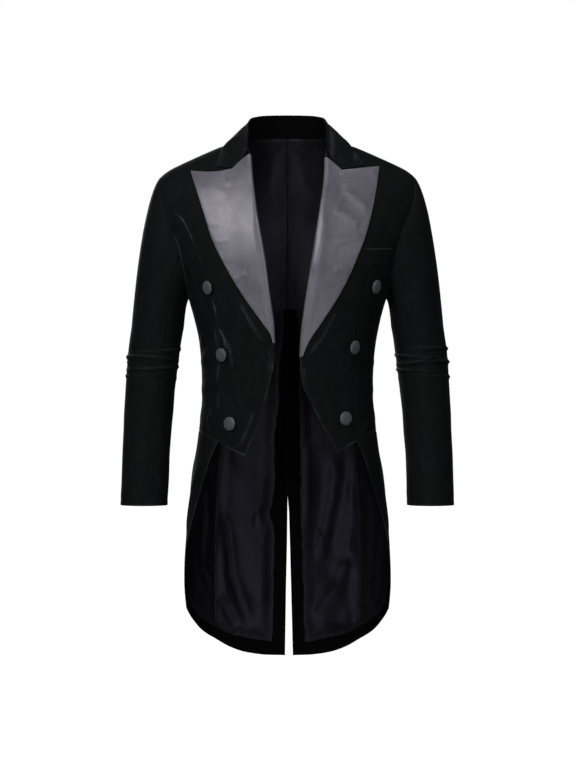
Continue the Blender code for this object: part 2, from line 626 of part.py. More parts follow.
def build_sleeve(side, word, seams):
    """Rings from the armhole to the cuff, cut lengthways into the upper and the under sleeve."""
    loop, normal = armhole_loop(seams)
    off = np.cross(normal, np.roll(loop, -1, axis=0) - np.roll(loop, 1, axis=0))
    start = loop + off / np.linalg.norm(off, axis=1, keepdims=True) * SLEEVE_OFF
    low = loop[:, 2].min() + ARMPIT_REACH
    start[:, 0] += ARMPIT_OFF * np.clip((low - start[:, 2]) / ARMPIT_REACH, 0, 1)
    pace = np.linalg.norm(np.roll(loop, -1, axis=0) - loop, axis=1)
    armpit = ARMHOLE_TOP_POINTS + ARMHOLE_FRONT_POINTS - 2
    front = np.concatenate([[0], np.cumsum(pace[:armpit])])
    back = np.cumsum(pace[armpit:])
    turn = np.pi * np.concatenate([front / front[-1], 1 + back[:-1] / back[-1]])

    creases = ELBOW_LEFT if side > 0 else ELBOW_RIGHT
    lean = np.cos(turn - np.radians(ELBOW_LEAN))
    table = np.array(SLEEVE, dtype=float)[::-1]
    levels = [creases[-1][0] - ELBOW_FADE] + [row[0] for row in creases[::-1]] + [creases[0][0] + ELBOW_FADE]
    tilts = [0.0] + [row[4] for row in creases[::-1]] + [0.0]
    rings = []
    for z in sleeve_heights(creases):
        cx, cy, half_wide, half_deep = [smooth_value(table[:, 0], table[:, k], z) for k in (1, 2, 3, 4)]
        tilt = np.interp(z, levels, tilts)
        rings.append(np.stack([cx + half_wide * np.cos(turn), cy - half_deep * np.sin(turn),
                               z + tilt * lean], axis=1))
    rings = np.array(rings)
    reach = np.linalg.norm(rings[0] - start, axis=1)[:, None]
    level = np.ones_like(turn)
    leave = np.stack([CAP_OUT * level, -CAP_FORWARD * np.sin(turn), -CAP_FALL * level], axis=1)
    arrive = np.stack([CAP_FLARE * level, 0 * level, -level], axis=1)
    cap = [bend_between(t, start, rings[0], reach, leave, arrive) for t in CAP_STEPS]
    tube = np.concatenate([np.array(cap), rings])
    swell = np.zeros(tube.shape[:2])
    for height, strength, spread, middle, tilt in creases:
        around = 0.5 + 0.5 * np.cos(turn - np.radians(middle))
        swell += strength * around * np.exp(-(((tube[..., 2] - height - tilt * lean) / spread) ** 2))
    tube = tube + ring_normals(tube) * swell[..., None]
    inside = tube - ring_normals(tube) * SHELL_WALL
    count = len(turn)
    for piece, first, last in (("upper", UNDER_END, UNDER_START + count), ("under", UNDER_START, UNDER_END)):
        picked = np.arange(first, last + 1) % count
        outer, inner = draw_in(tube[:, picked]), draw_in(inside[:, picked])
        wall_between(piece + "_sleeve_" + word, mirrored(outer, side), mirrored(inner, side), "velvet")


def build_welt():
    """Welt of the breast pocket on the wearer's left; one end goes under the lapel."""
    lines = [trace(WELT_TOP, 8), trace(WELT_BOTTOM, 8),
             trace([WELT_TOP[0], WELT_BOTTOM[0]], 4), trace([WELT_TOP[-1], WELT_BOTTOM[-1]], 4)]
    cells = fill(*[path_from_height(line, -1) for line in lines])
    body_wall("breast_welt", 1, body_by_path, cells, "velvet", WELT_WALL, OVERLAY_CLEARANCE)


def build_button(name, side, x, height, lean):
    """Domed button, a turned outline standing on the body."""
    path = path_from_height(np.array([[x, height]]), -1)[0]
    place = body_by_path(path[:1], path[1:])[0]
    normal = normals_of(body_by_path, path[:1], path[1:])[0]
    turn = np.radians(lean)
    axis = np.array([normal[0] * np.cos(turn) - normal[1] * np.sin(turn),
                     normal[0] * np.sin(turn) + normal[1] * np.cos(turn), normal[2]])
    lift = BUTTON_SEAT + BUTTON_PROP * BUTTON_RADIUS * abs(np.sin(turn))
    outline = [(share * BUTTON_RADIUS, 0, rise * BUTTON_RISE) for share, rise in BUTTON_PROFILE]
    edges = [(k, k + 1) for k in range(len(outline) - 1)]
    button = add_piece(name, outline, edges, [], "button")
    button.location = mirrored(place + axis * lift, side) * MM
    button.rotation_mode = "QUATERNION"
    button.rotation_quaternion = Vector(mirrored(axis, side)).to_track_quat("Z", "Y")
    screw = button.modifiers.new("turned", "SCREW")
    screw.steps = BUTTON_SIDES
    screw.render_steps = BUTTON_SIDES
    screw.use_merge_vertices = True
    screw.merge_threshold = 0.01 * MM


def collar_section(row, end):
    """Cross-section of the collar at one station: up the stand, over the fold and down the leaf."""
    seam_x, seam_path, fold_x, fold_y, fold_z, leaf_x, leaf_path = [float(value) for value in row]
    if end:
        leaf_x, leaf_path = path_from_height(np.array(end[-1:], float), -1)[0]
    up = np.array([0, 0, 1.0])
    fold = np.array([fold_x, fold_y, fold_z])
    leaf = (body_by_path(np.array(leaf_x), np.array(leaf_path))
            + normals_of(body_by_path, np.array(leaf_x), np.array(leaf_path)) * COLLAR_REST)
    out = (leaf - fold) * [1, 1, 0]
    out /= np.linalg.norm(out)
    seam = body_by_path(np.array(seam_x), np.array(seam_path)) - out * COLLAR_WALL + up * COLLAR_WALL / 2
    bend = COLLAR_BEND
    leg = fold + out * bend * 2 - up * bend
    points = [seam, (seam + fold - up * bend) / 2, fold - up * bend, fold + (out - up) * bend * 0.3,
              fold + out * bend, fold + out * bend * 1.7 - up * bend * 0.3, leg]
    if end:
        edge = path_from_height(np.array(end[:-1], float), -1)
        points += list(body_by_path(*edge.T) + normals_of(body_by_path, *edge.T) * COLLAR_REST)
    else:
        away = np.cross(np.cross(leaf - leg, up), leaf - leg)
        away *= COLLAR_BULGE * np.sign(away[2]) / np.linalg.norm(away)
        points += [leg + (leaf - leg) * share + away for share in (1 / 3, 2 / 3)]
    return np.array(points + [leaf])


def build_collar():
    """Stand and fall over one fold, run round the neck from one gorge to the other."""
    ends = {-1: COLLAR_END_RIGHT, 1: COLLAR_END_LEFT}
    halves = []
    for side in (-1, 1):
        rows = [collar_section(row, None) for row in COLLAR[:-1]] + [collar_section(COLLAR[-1], ends[side])]
        halves.append(mirrored(np.array(rows), side))
    stations = np.concatenate([halves[0][::-1], halves[1][1:]])
    slopes = np.gradient(stations, axis=0)
    wanted = np.linspace(0, len(stations) - 1, COLLAR_POINTS)
    cell = np.clip(wanted.astype(int), 0, len(stations) - 2)
    t = (wanted - cell)[:, None, None]
    face = bend_between(t, stations[cell], stations[cell + 1], 1.0, slopes[cell], slopes[cell + 1])
    normal = np.cross(np.gradient(face, axis=0), np.gradient(face, axis=1))
    normal /= np.linalg.norm(normal, axis=-1, keepdims=True)
    normal *= np.sign(normal[COLLAR_POINTS // 2, 4, 2])
    wall_between("collar", face, face - normal * COLLAR_WALL, "velvet")


for item in list(bpy.data.objects):
    bpy.data.objects.remove(item, do_unlink=True)
coat = bpy.data.collections.new("White tie tailcoat")
bpy.context.scene.collection.children.link(coat)

body_seams = shared_seams()
for side, word in ((-1, "right"), (1, "left")):
    build_front(side, word, body_seams)
    build_side(side, word, body_seams)
    build_skirt(side, word, body_seams)
    build_back(side, word, body_seams)
    build_lapel(side, word)
    build_sleeve(side, word, body_seams)
build_collar()
build_welt()
for row in BUTTONS:
    build_button(*row)
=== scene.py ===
# White tie tailcoat: the look of every piece of cloth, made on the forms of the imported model.
# Lengths in this script are millimetres and turn into metres where a mesh is made.
# Sides are -1 for the wearer's right and 1 for the wearer's left.
import math

import bpy
import numpy as np
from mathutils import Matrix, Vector


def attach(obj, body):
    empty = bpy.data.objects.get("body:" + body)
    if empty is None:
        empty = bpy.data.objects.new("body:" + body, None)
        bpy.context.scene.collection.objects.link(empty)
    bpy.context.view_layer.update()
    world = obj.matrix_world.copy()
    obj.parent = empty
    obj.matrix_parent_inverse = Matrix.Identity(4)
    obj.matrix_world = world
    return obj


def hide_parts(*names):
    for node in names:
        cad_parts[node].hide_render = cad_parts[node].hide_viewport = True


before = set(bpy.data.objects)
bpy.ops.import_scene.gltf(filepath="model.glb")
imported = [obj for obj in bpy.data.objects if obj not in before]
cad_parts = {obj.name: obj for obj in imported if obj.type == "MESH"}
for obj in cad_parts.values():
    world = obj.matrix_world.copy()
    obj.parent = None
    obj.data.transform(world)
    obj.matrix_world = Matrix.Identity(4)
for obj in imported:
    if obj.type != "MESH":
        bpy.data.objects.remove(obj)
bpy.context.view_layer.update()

MM = 0.001
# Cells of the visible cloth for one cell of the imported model
FINE = 7
# Points that a smooth line is measured with, and values that seeded unevenness is drawn from
LINE_POINTS = 4000
KNOTS = 4096
KNOT_SIDE = 128

# Names of the sides
SIDES = {-1: "right", 1: "left"}
# Cloth pieces, with {} for the side: slot, flat size and area in metres, and what each rests on
CUTS = {
    "front_{}": ("shell_velvet", (0.235, 0.635), 0.0765, ("back_{}", "side_{}")),
    "side_{}": ("shell_velvet", (0.235, 0.44), 0.0603, ("front_{}", "back_{}")),
    "skirt_{}": ("shell_velvet", (0.21, 0.42), 0.0482, ("side_{}", "back_{}")),
    "back_{}": ("shell_velvet", (0.26, 1.04), 0.169, ("back_lining_{}",)),
    "upper_sleeve_{}": ("shell_velvet", (0.24, 0.665), 0.121, ("front_{}", "back_{}")),
    "under_sleeve_{}": ("shell_velvet", (0.125, 0.49), 0.0476, ("front_{}", "back_{}")),
    "breast_welt": ("shell_velvet", (0.077, 0.031), 0.0022, ("front_left",)),
    "collar": ("shell_velvet", (0.50, 0.105), 0.0375, ("back_left", "back_right")),
    "lapel_right": ("lapel_satin", (0.165, 0.40), 0.0277, ("front_right",)),
    "lapel_left": ("lapel_satin", (0.165, 0.40), 0.0293, ("front_left",)),
    "back_lining_{}": ("tail_lining_cloth", (0.25, 0.375), 0.0735, ("back_{}",)),
    "tail_lining_{}": ("tail_lining_cloth", (0.165, 0.70), 0.080, ("back_{}",)),
    "skirt_lining_{}": ("tail_lining_cloth", (0.20, 0.385), 0.0415, ("skirt_{}",)),
}

# Cloth walls, and the clear space under the lining and under the lapels and the welt
SHELL_WALL = 2.0
SATIN_WALL = 1.6
LINING_WALL = 0.9
COLLAR_WALL = 1.8
LINING_CLEARANCE = 0.7
OVERLAY_CLEARANCE = 0.9
LINING_DEPTH = SHELL_WALL + LINING_CLEARANCE + LINING_WALL

# Rounded edge of a sheet: shares of the way round its rim, lap over the seam line, and extra rows near it
RIM_SHARES = (0.25, 0.5, 0.75)
SEAM_LAP = 0.22
EDGE_SHARES = [0.3, 0.62]
# Dip of the cloth into a seam: depth and reach
SEAM_DIP = 0.55
SEAM_REACH = 2.2
# Finer wave of the gathers: slant, height and spacing as shares, and the length over which they start
PUCKER_SLANT = 0.12
PUCKER_SECOND = 0.5
PUCKER_FINE = 0.43
PUCKER_START = 2.0

# Body form: squareness of its sections, height over which chest and back swell out, its middle height
SQUARENESS = 2.4
FRONT_DROP = 285.0
BACK_DROP = 232.0
BODY_MIDDLE = -330.0
# Step that normals are measured with, and how little height counts in telling out from in
NORMAL_STEP = 0.4
NORMAL_FLAT = 0.25
# Height, half width, depth in front, depth behind
TORSO = [(90, 300, 116, 110), (-60, 300, 124, 115), (-108, 280, 127, 117), (-136, 263, 128, 118),
    (-177, 239, 130, 118), (-218, 219, 130, 116), (-258, 200, 130, 112), (-292, 188, 129, 108),
    (-333, 176.5, 127, 103), (-378, 167.5, 122, 97), (-424, 163, 117, 93), (-470, 162, 113, 91),
    (-506, 164.5, 111, 91), (-560, 171, 109, 94), (-629, 181.5, 106, 99), (-697, 189, 102, 104),
    (-789, 195.5, 98, 110), (-880, 198, 95, 114), (-990, 199, 94, 116)]
# Half width, height of the shoulder line
SHOULDER_LINE = [(0, 69), (28, 61), (52, 39), (67, 20.7), (74, 14.7), (88, 7), (112, -0.5), (124, -3),
    (136, -7.5), (150, -13.5), (176, -25), (200, -36), (224, -48), (240, -60), (264, -82)]

# Seams and edges: half width, height
BACK_NECK = [(0, 18), (28, 17.5), (52, 15.5), (67, 14), (74, 14.7)]
ARMHOLE_FRONT_TOP = [(240, -60), (241.5, -84), (238, -108), (228.5, -136)]
ARMHOLE_FRONT_LOW = [(228.5, -136), (212, -177), (200.5, -218), (193, -258), (188, -292)]
ARMHOLE_BACK_TOP = [(240, -60), (240.5, -84), (238, -108), (231, -143), (222, -176)]
ARMHOLE_BACK_LOW = [(222, -176), (207, -216), (196, -256), (188, -292)]
PRINCESS = [(228.5, -136), (204.5, -141), (192, -157), (180.5, -182), (166.5, -214), (155.5, -244),
    (148, -264), (142, -292), (136, -320), (128, -380), (125, -445), (125.5, -500), (130, -562)]
BACK_SEAM = [(222, -176), (200, -205), (176, -250), (152, -310), (132, -380), (124, -450), (124, -510),
    (131, -574)]
SKIRT_SEAM = [(131, -574), (136, -640), (141, -720), (142, -820), (141.5, -922.5)]
# Roll line, front edge and hem of each forepart, from the neck down to the point and back
ROLL = {
    -1: [(73, 15.4), (71.5, -3), (70.6, -24.6), (66.6, -69.5), (58.4, -133.6), (43.8, -217.5),
        (34.4, -288), (26.8, -341.6), (24.5, -378)],
    1: [(73, 15.4), (72, -5), (71.4, -31), (70.6, -60.9), (63, -121), (52.8, -184.1), (42.2, -250.7),
        (33.2, -308.7), (26.5, -362.3), (23.8, -404)],
}
EDGE = {
    -1: [(24.5, -378), (23.5, -400), (26.5, -425), (33, -452), (42.5, -487), (56, -530), (79, -588)],
    1: [(23.8, -404), (25.5, -437.4), (30.6, -463), (44, -489), (62, -525), (94.5, -583)],
}
HEM = {
    -1: [(79, -588), (104, -577), (130, -562)],
    1: [(94.5, -583), (112, -571), (130, -562)],
}
# Each lapel: outer edge from the peak down to its foot, gorge, and top edge out to the peak
LAPEL_EDGE = {
    -1: [(181.8, -53.6), (173.5, -80), (156.7, -131.8), (137, -191.2), (111.3, -241.6), (78.2, -296),
        (45.5, -341.6), (30, -364.8), (26.8, -378)],
    1: [(172.2, -45.3), (165.6, -88.8), (157, -131.5), (144.3, -178.2), (129.1, -216.4),
        (111.5, -258.4), (89.1, -300.1), (64.6, -337.5), (39.2, -376), (27, -404)],
}
GORGE = {
    -1: [(70.3, -23.5), (86, -35.3), (104, -51.7)],
    1: [(71.3, -30), (86, -41), (101.5, -54)],
}
PEAK = {
    -1: [(104, -51.7), (136.4, -56.7), (160, -56), (181.8, -53.6)],
    1: [(101.5, -54), (136.4, -49.8), (160, -46.5), (172.2, -45.3)],
}
# Waist seam round the side: angle from the centre front, height
WAIST_SEAM = [(54, -554), (63, -547), (75, -543), (90, -543), (110, -553)]
# Cut edge of the skirt from the waist back to the corner: angle from the centre front, height
SKIRT_EDGE = [(51.5, -590), (57, -634), (63, -672), (70, -709), (79, -750), (88, -790), (95.5, -838),
    (103.5, -883)]
# Rounded hem of a tail, and centre back with the vent's edge: half width, height
HEM_CORNER = [(192.5, -883), (181.5, -907.4), (161, -932), (141, -945.5)]
HEM_TAIL = [(141, -945.5), (116, -961), (94, -970.5), (54, -978.8), (6, -981)]
VENT = {
    -1: [(0, 18), (0, -668), (1, -760), (3, -850), (5, -981)],
    1: [(0, 18), (0, -668), (3, -700), (5, -770), (7, -845), (10.5, -981)],
}
VENT_TOP = -668.0

# Sleeve sections: height, centre x, centre y, half width, half depth
SLEEVE = [(-345, 246.5, 3, 49.8, 62), (-370, 250.5, 1, 49, 60), (-401, 254.5, -1, 48.6, 58),
    (-446, 258.5, -5, 47.3, 55.5), (-492, 262, -10, 46.3, 53), (-560, 266.5, -19, 45.5, 50),
    (-629, 269, -29, 45, 48), (-682, 270, -37, 44.5, 47)]
# Creases round the elbow: height, strength, half height, angle of the middle, tilt
ELBOW = {
    -1: [(-391, 2.4, 5.4, 160, -4), (-407, 3.2, 5.6, 40, 5), (-424, 3.6, 5.8, 120, -3),
        (-441, 2.6, 5, 300, 3)],
    1: [(-389, 2.6, 4.6, 20, 3), (-402, 3.0, 4.6, 150, -4), (-415, 3.4, 5.2, 60, 4),
        (-429, 3.0, 5, 200, -3), (-442, 2.2, 5, 320, 2)],
}
# Side that the creases tilt towards, in degrees, and height over which the tilt fades out
ELBOW_LEAN = 40.0
ELBOW_FADE = 20.0
# Sleeve set-in: shift off the armhole, and shift at the armpit with its reach
SLEEVE_OFF = -1.0
ARMPIT_OFF = -0.5
ARMPIT_REACH = 92.0
# Directions in which the sleeve leaves the armhole and arrives at its first ring
CAP_OUT = 0.3
CAP_FORWARD = 0.18
CAP_FALL = 0.235
CAP_FLARE = 0.08
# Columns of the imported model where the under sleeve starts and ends, and all of them
UNDER_START = 7
UNDER_END = 13
SLEEVE_COLUMNS = 19
# Rings of the sleeve: heights and steps at the elbow and above it, and rows of the cap
ELBOW_TOP = -372.0
ELBOW_LOW = -462.0
ELBOW_STEP = 1.5
SLEEVE_STEP = 3.4
LOW_RINGS = 52
CAP_ROWS = 86
# First shares of the way over the cap, which stand closer
CAP_FIRST = (0.0, 0.004, 0.01, 0.02)
# Height of the stitching round the cuff
CUFF_STITCH = -671.0
# Length round the sleeve that folds count for each degree
SLEEVE_TURN_MM = 0.86
# Crispness of the gathers, and their share lost on the front of the sleeve over so many degrees
GATHER_CRISP = 0.62
GATHER_FLAT = 0.5
GATHER_FLAT_SPAN = 38.0
# Unevenness of the gathers round the sleeve: share, spacing in degrees and seed
GATHER_UNEVEN = (0.35, 21, 107)
# Waves of the sleeve: least share, where they grow and over what height, and the same at the shoulder
SLEEVE_CALM = 0.25
SLEEVE_CALM_TOP = -330.0
SLEEVE_CALM_REACH = 60.0
SLEEVE_START = -60.0
SLEEVE_START_REACH = 80.0
# Distance from the sleeve's seams over which the waves grow
SLEEVE_HELD = 9.0
# Gathers at the armhole and along the seams of the sleeve: height, spacing, seed and reach
ARMHOLE_EASE = (0.35, 16, 103, 9)
SEAM_EASE = (0.3, 13, 105, 6)
# Dips of the sleeve: cuff stitching and its reach, at the armhole, and at its own seams with their reach
CUFF_DIP = 0.5
CUFF_DIP_REACH = 1.4
SLEEVE_DIP = 0.5
SLEEVE_SEAM_REACH = 2.0
# Rubbed nap and painted sheen of the sleeve: strength and breadth at the armhole and at the cuff, and painted
# sheen just over each gather
SLEEVE_TOP_RUB_AND_SHEEN = (0.1, 2.4)
CUFF_RUB_AND_SHEEN = (0.2, 2.0)
GATHER_SHEEN = (0.16, 1.6)
GATHER_SHEEN_RISE = 2.0

# Collar from the centre back to the front end. Seam: half width, path from the shoulder seam.
# Fold: x, y, z. Leaf edge: half width, path. Paths run back when positive and forward when negative.
COLLAR = [(0, 157, 0, 67, 63.5, 0, 187), (28, 144.6, 26.5, 63, 62.8, 32, 172),
    (52, 105, 51, 50, 60, 62, 124), (67, 55.7, 66.5, 32, 52.5, 86, 74),
    (74, 0, 71.6, 10, 43.5, 105, 28), (73.6, -40, 72.3, -12, 28.5, 116, -30),
    (72.8, -90, 72.6, -37, 11.5, 126, -86), (70.8, -146, 72.2, -62.5, -13, 134, -143)]
# Front end of each leaf: half width, height, at a third, at two thirds and at the corner
COLLAR_END = {
    -1: [(87, -34), (105, -48.4), (133, -46.5)],
    1: [(87, -39.5), (102.5, -50.7), (140, -43)],
}
# Radius of the fold, gap of the leaf over the body, and fullness of the leaf
COLLAR_BEND = 2.7
COLLAR_REST = 3.3
COLLAR_BULGE = 4.0
# Drop of the stand's seam edge behind the top edge of the back, and its reach
COLLAR_TUCK = 1.6
COLLAR_TUCK_REACH = 5.0
# Rows and columns of the collar's cloth
COLLAR_ROWS = 145
COLLAR_COLUMNS = 41
# Share of the collar's columns that is its stand, faced with near-black cloth that also paints the shade
# under the collar's fall
COLLAR_STAND = 0.4
# Painted sheen streaks of the collar, soft highlights on its leaf: half width with its side, nearest and
# furthest place behind, breadth, strength
COLLAR_STREAKS = [(84, -66, 10, 4.0, 0.3), (-80, -70, 10, 3.0, 0.12), (128, -100, -20, 2.0, 0.25),
    (-124, -100, -10, 3.0, 0.2)]

# Cross-section of the lapel at the roll line: past the line and rise, of its face and of its back
LAPEL_WRAP = [(2.1, -2.4, 0.55, -2.4), (2.15, -0.9, 0.55, -1.1), (1.9, 0.9, 0.55, 0.3),
    (1.25, 2.1, 0.1, 1.0), (0.2, 2.9, -0.6, 1.3)]
# Rise of the rolled part, and the share of the lapel's width that it reaches over
LAPEL_ROLL = 1.6
LAPEL_ROLL_REACH = 0.3
# Turn of the roll's edge back to the forepart: fall and reach
LAPEL_TURN = 1.2
LAPEL_TURN_REACH = 3.0
# Fuller turn lower down: rise, reach, heights where it sets in, and how far it keeps off the outer edge
LAPEL_BELLY = 2.6
LAPEL_BELLY_REACH = 7.0
LAPEL_BELLY_TOP = -125.0
LAPEL_BELLY_LOW = -175.0
LAPEL_BELLY_CLEAR = 30.0
# Rise of the left lapel over the end of the pocket welt: height, middle, half its length
WELT_BUMP = 2.2
WELT_MIDDLE = -215.0
WELT_SPREAD = 34.0
# Welt of the breast pocket: its wall, its top and lower edge as half width and height, and the dip below it
WELT_WALL = 1.6
WELT_TOP = [(124, -203), (197, -199.6)]
WELT_BOTTOM = [(122, -229.5), (182.5, -229.3)]
WELT_TUCK = 0.5
WELT_TUCK_REACH = 2.0

# Buttons: name, side, half width, height, lean about the upright line in degrees
BUTTONS = [("button_top_right", -1, 145.5, -274, 18), ("button_mid_right", -1, 121.3, -399.4, 9),
    ("button_low_right", -1, 105.8, -528, 12), ("button_top_left", 1, 163, -271.8, 12),
    ("button_mid_left", 1, 122.4, -385.4, 15), ("button_low_left", 1, 107.4, -518.4, 6)]
# Their radius and rise, the gap under them, and share of the radius that lifts one where it leans
BUTTON_RADIUS = 13.0
BUTTON_RISE = 6.0
BUTTON_SEAT = 0.4
BUTTON_PROP = 0.66
# Tucks under its rim: depth, share of the rise where they end, number and seed
BUTTON_TUCK = 0.012
BUTTON_TUCK_TOP = 0.35
BUTTON_TUCKS = 40
BUTTON_SEED = 121
# Outline of a covered button from the top to the underside: shares of its radius and rise
BUTTON_OUTLINE = [(0, 1.0), (0.3, 0.985), (0.62, 0.9), (0.9, 0.66), (1.0, 0.38), (0.97, 0.16),
    (0.86, 0.03), (0.5, 0.0), (0, 0)]
BUTTON_RINGS = 34
BUTTON_SIDES = 64

# Free foot of the upper lining: height, wave with its size and seed, how far it hangs clear and from where
FOOT_HEIGHT = -309.0
FOOT_WAVE = 3.0
FOOT_WAVE_SIZE = 19
FOOT_SEED = 71
FOOT_HANG = 2.2
FOOT_LENGTH = 100.0
# Tail lining: its top behind the upper lining, its hem, and its edge beside the velvet facing
TAIL_TOP = -284.0
LINING_HEM = [(77, -947), (115.5, -937), (141.5, -922.5)]
FACING = {
    -1: [(7, 18), (7, -313), (8, -345), (12.6, -395), (16.5, -440), (17, -500), (23, -535), (25, -600),
        (25, -720), (27, -850), (30, -955)],
    1: [(16.5, 18), (16.5, -313), (21, -336), (22.5, -360), (22.5, -440), (24.5, -560), (26, -700),
        (30, -820), (34, -957)],
}
# Wave of that edge: height, size and seed
FACING_WAVE = 1.3
FACING_WAVE_SIZE = 13
FACING_SEED = 81
# Place where the wearer's right tail lining pulls away from the facing: width, height, breadth
PULL = 9.0
PULL_HEIGHT = -704.0
PULL_BREADTH = 26.0
# Skirt lining: angle from the centre front and height, then half width and height
SKIRT_LINING_EDGE = [(54, -554), (58, -600), (63.5, -640), (70, -680), (77, -722), (87, -768),
    (95, -810), (103, -848), (112.5, -884)]
SKIRT_LINING_HEM = [(172, -901), (157, -913), (141.5, -922.5)]
# How far the linings hang clear of the shell between their seams
LOOSE = 3.8
SKIRT_LOOSE = 1.8
# How fast the bends of the neck and shoulder fade in the rows below them
BACK_EASE = 7
LINING_EASE = 2.5

# Thread of the sewing that shows: radius, sides, and shares along one stitch
THREAD_RADIUS = 0.3
STITCH_SIDES = 6
STITCH_STEPS = (0.0, 0.12, 0.35, 0.65, 0.88, 1.0)
# Fell stitches of the tail lining: first place below its top, spacing, length and seeds
FELL_START = 60.0
FELL_SPACING = 8.5
FELL_LENGTH = 2.6
FELL_SEEDS = {-1: 141, 1: 143}
# Share of a stitch on the facing, its fall, how uneven place and length are, and the free end of the row
FELL_INSIDE = 0.45
FELL_FALL = 0.8
FELL_PLACE_WAVE = 2.0
FELL_LENGTH_WAVE = 0.3
FELL_END = 6.0
# Bar tacks on the wearer's left notch: both ends as half width and height
NOTCH_TACKS = [((97.0, -56.5), (100.0, -66.0)), ((101.6, -57.2), (104.4, -65.4))]

# Folds: half breadth, rise, then points as half width and height; each side has its own
FRONT_FOLDS = {
    -1: [(5, 1.2, (82, -300), (62, -352), (40, -382)), (3.2, -0.9, (40, -384), (33, -408), (28, -440)),
        (3.0, 1.1, (36, -392), (31, -420), (28, -446)), (6, 1.3, (146, -292), (138, -340), (132, -384)),
        (5, 1.1, (138, -318), (124, -352), (108, -392)),
        (5, 1.0, (132, -408), (138, -440), (134, -470)),
        (7, -0.7, (120, -420), (112, -470), (110, -500)),
        (9, 0.9, (196, -120), (176, -150), (158, -190)),
        (12, 0.9, (212, -80), (190, -110), (150, -130))],
    1: [(5, 1.1, (84, -316), (64, -360), (44, -398)), (3.2, 1.0, (32, -420), (30, -448), (36, -474)),
        (6, 1.1, (150, -286), (140, -330), (132, -374)),
        (5, 0.9, (140, -330), (128, -360), (108, -386)),
        (5, 0.9, (130, -405), (136, -436), (132, -466)),
        (9, 1.0, (190, -110), (176, -146), (166, -190)),
        (12, 0.8, (214, -78), (192, -104), (152, -124)),
        (8, -0.6, (112, -440), (100, -480), (92, -510))],
}
# Side body folds: distance behind the front seam, and height
SIDE_FOLDS = [(9, 1.4, (20, -330), (46, -362), (90, -376)),
    (8, 1.2, (24, -372), (60, -408), (110, -414)), (8, -0.9, (18, -350), (52, -386), (100, -396)),
    (10, 1.0, (30, -440), (62, -468), (118, -462)), (9, 0.9, (60, -500), (90, -516), (130, -512))]
# Skirt folds: distance behind its cut edge, and height
SKIRT_FOLDS = [(12, 1.6, (24, -590), (34, -660), (26, -740)),
    (14, 1.4, (70, -580), (78, -680), (64, -800)), (12, -1.0, (50, -600), (58, -700), (48, -790)),
    (14, 1.3, (120, -585), (118, -700), (84, -840))]
BACK_FOLDS = [(16, 1.6, (150, -110), (120, -170), (96, -260)),
    (12, 1.1, (60, -330), (76, -372), (118, -392)), (12, 1.3, (40, -380), (62, -416), (112, -428)),
    (10, -0.9, (46, -356), (70, -394), (114, -410)), (14, 1.1, (38, -430), (58, -470), (108, -486)),
    (20, 2.0, (88, -600), (96, -740), (84, -900)), (16, -1.4, (60, -640), (66, -760), (58, -900)),
    (18, 1.6, (32, -700), (36, -820), (30, -940))]
UPPER_LINING_FOLDS = {
    -1: [(13, 0.8, (20, -20), (24, -120), (18, -250)), (18, 1.1, (52, -60), (46, -190), (34, -300)),
        (16, 1.1, (88, -90), (72, -200), (60, -300)), (4.0, 0.9, (7, -258), (9, -276), (6, -298))],
    1: [(13, 0.9, (18, -30), (20, -130), (12, -240)), (18, 1.1, (44, -50), (48, -170), (36, -300)),
        (16, 1.0, (90, -100), (76, -200), (64, -300)), (3.6, 0.9, (14, -262), (11, -282), (14, -300))],
}
TAIL_FOLDS = {
    -1: [(6, 1.6, (138, -660), (142, -706), (150, -764)),
        (4.5, -2.0, (132, -680), (129, -700), (127, -718)),
        (34, 3.8, (86, -600), (80, -720), (60, -830), (42, -920)),
        (13, -6.0, (128, -690), (115, -750), (108, -820), (84, -890), (70, -930)),
        (14, 1.8, (136, -770), (132, -830), (112, -880)),
        (9, -3.6, (136, -860), (118, -896), (100, -926)), (6, -1.6, (63, -704), (62, -716), (64, -730)),
        (10, 1.0, (38, -660), (34, -704), (38, -760))],
    1: [(12, -3.4, (38, -560), (37, -650), (32, -740)),
        (16, 2.8, (73, -574), (66, -640), (58, -733), (44, -800)),
        (12, -4.6, (97, -596), (91, -670), (76, -740), (56, -800)),
        (14, 3.4, (112, -576), (114, -642), (101, -704), (78, -800)),
        (18, -6.0, (138, -630), (136, -730), (120, -800)),
        (15, 3.4, (138, -802), (117, -861), (84, -936)),
        (13, -4.8, (122, -784), (92, -858), (64, -896), (44, -916)),
        (30, 4.6, (84, -610), (88, -740), (86, -870)), (8, 2.0, (140, -880), (127, -921), (118, -942)),
        (5, -1.6, (60, -736), (63, -746), (65, -756))],
}
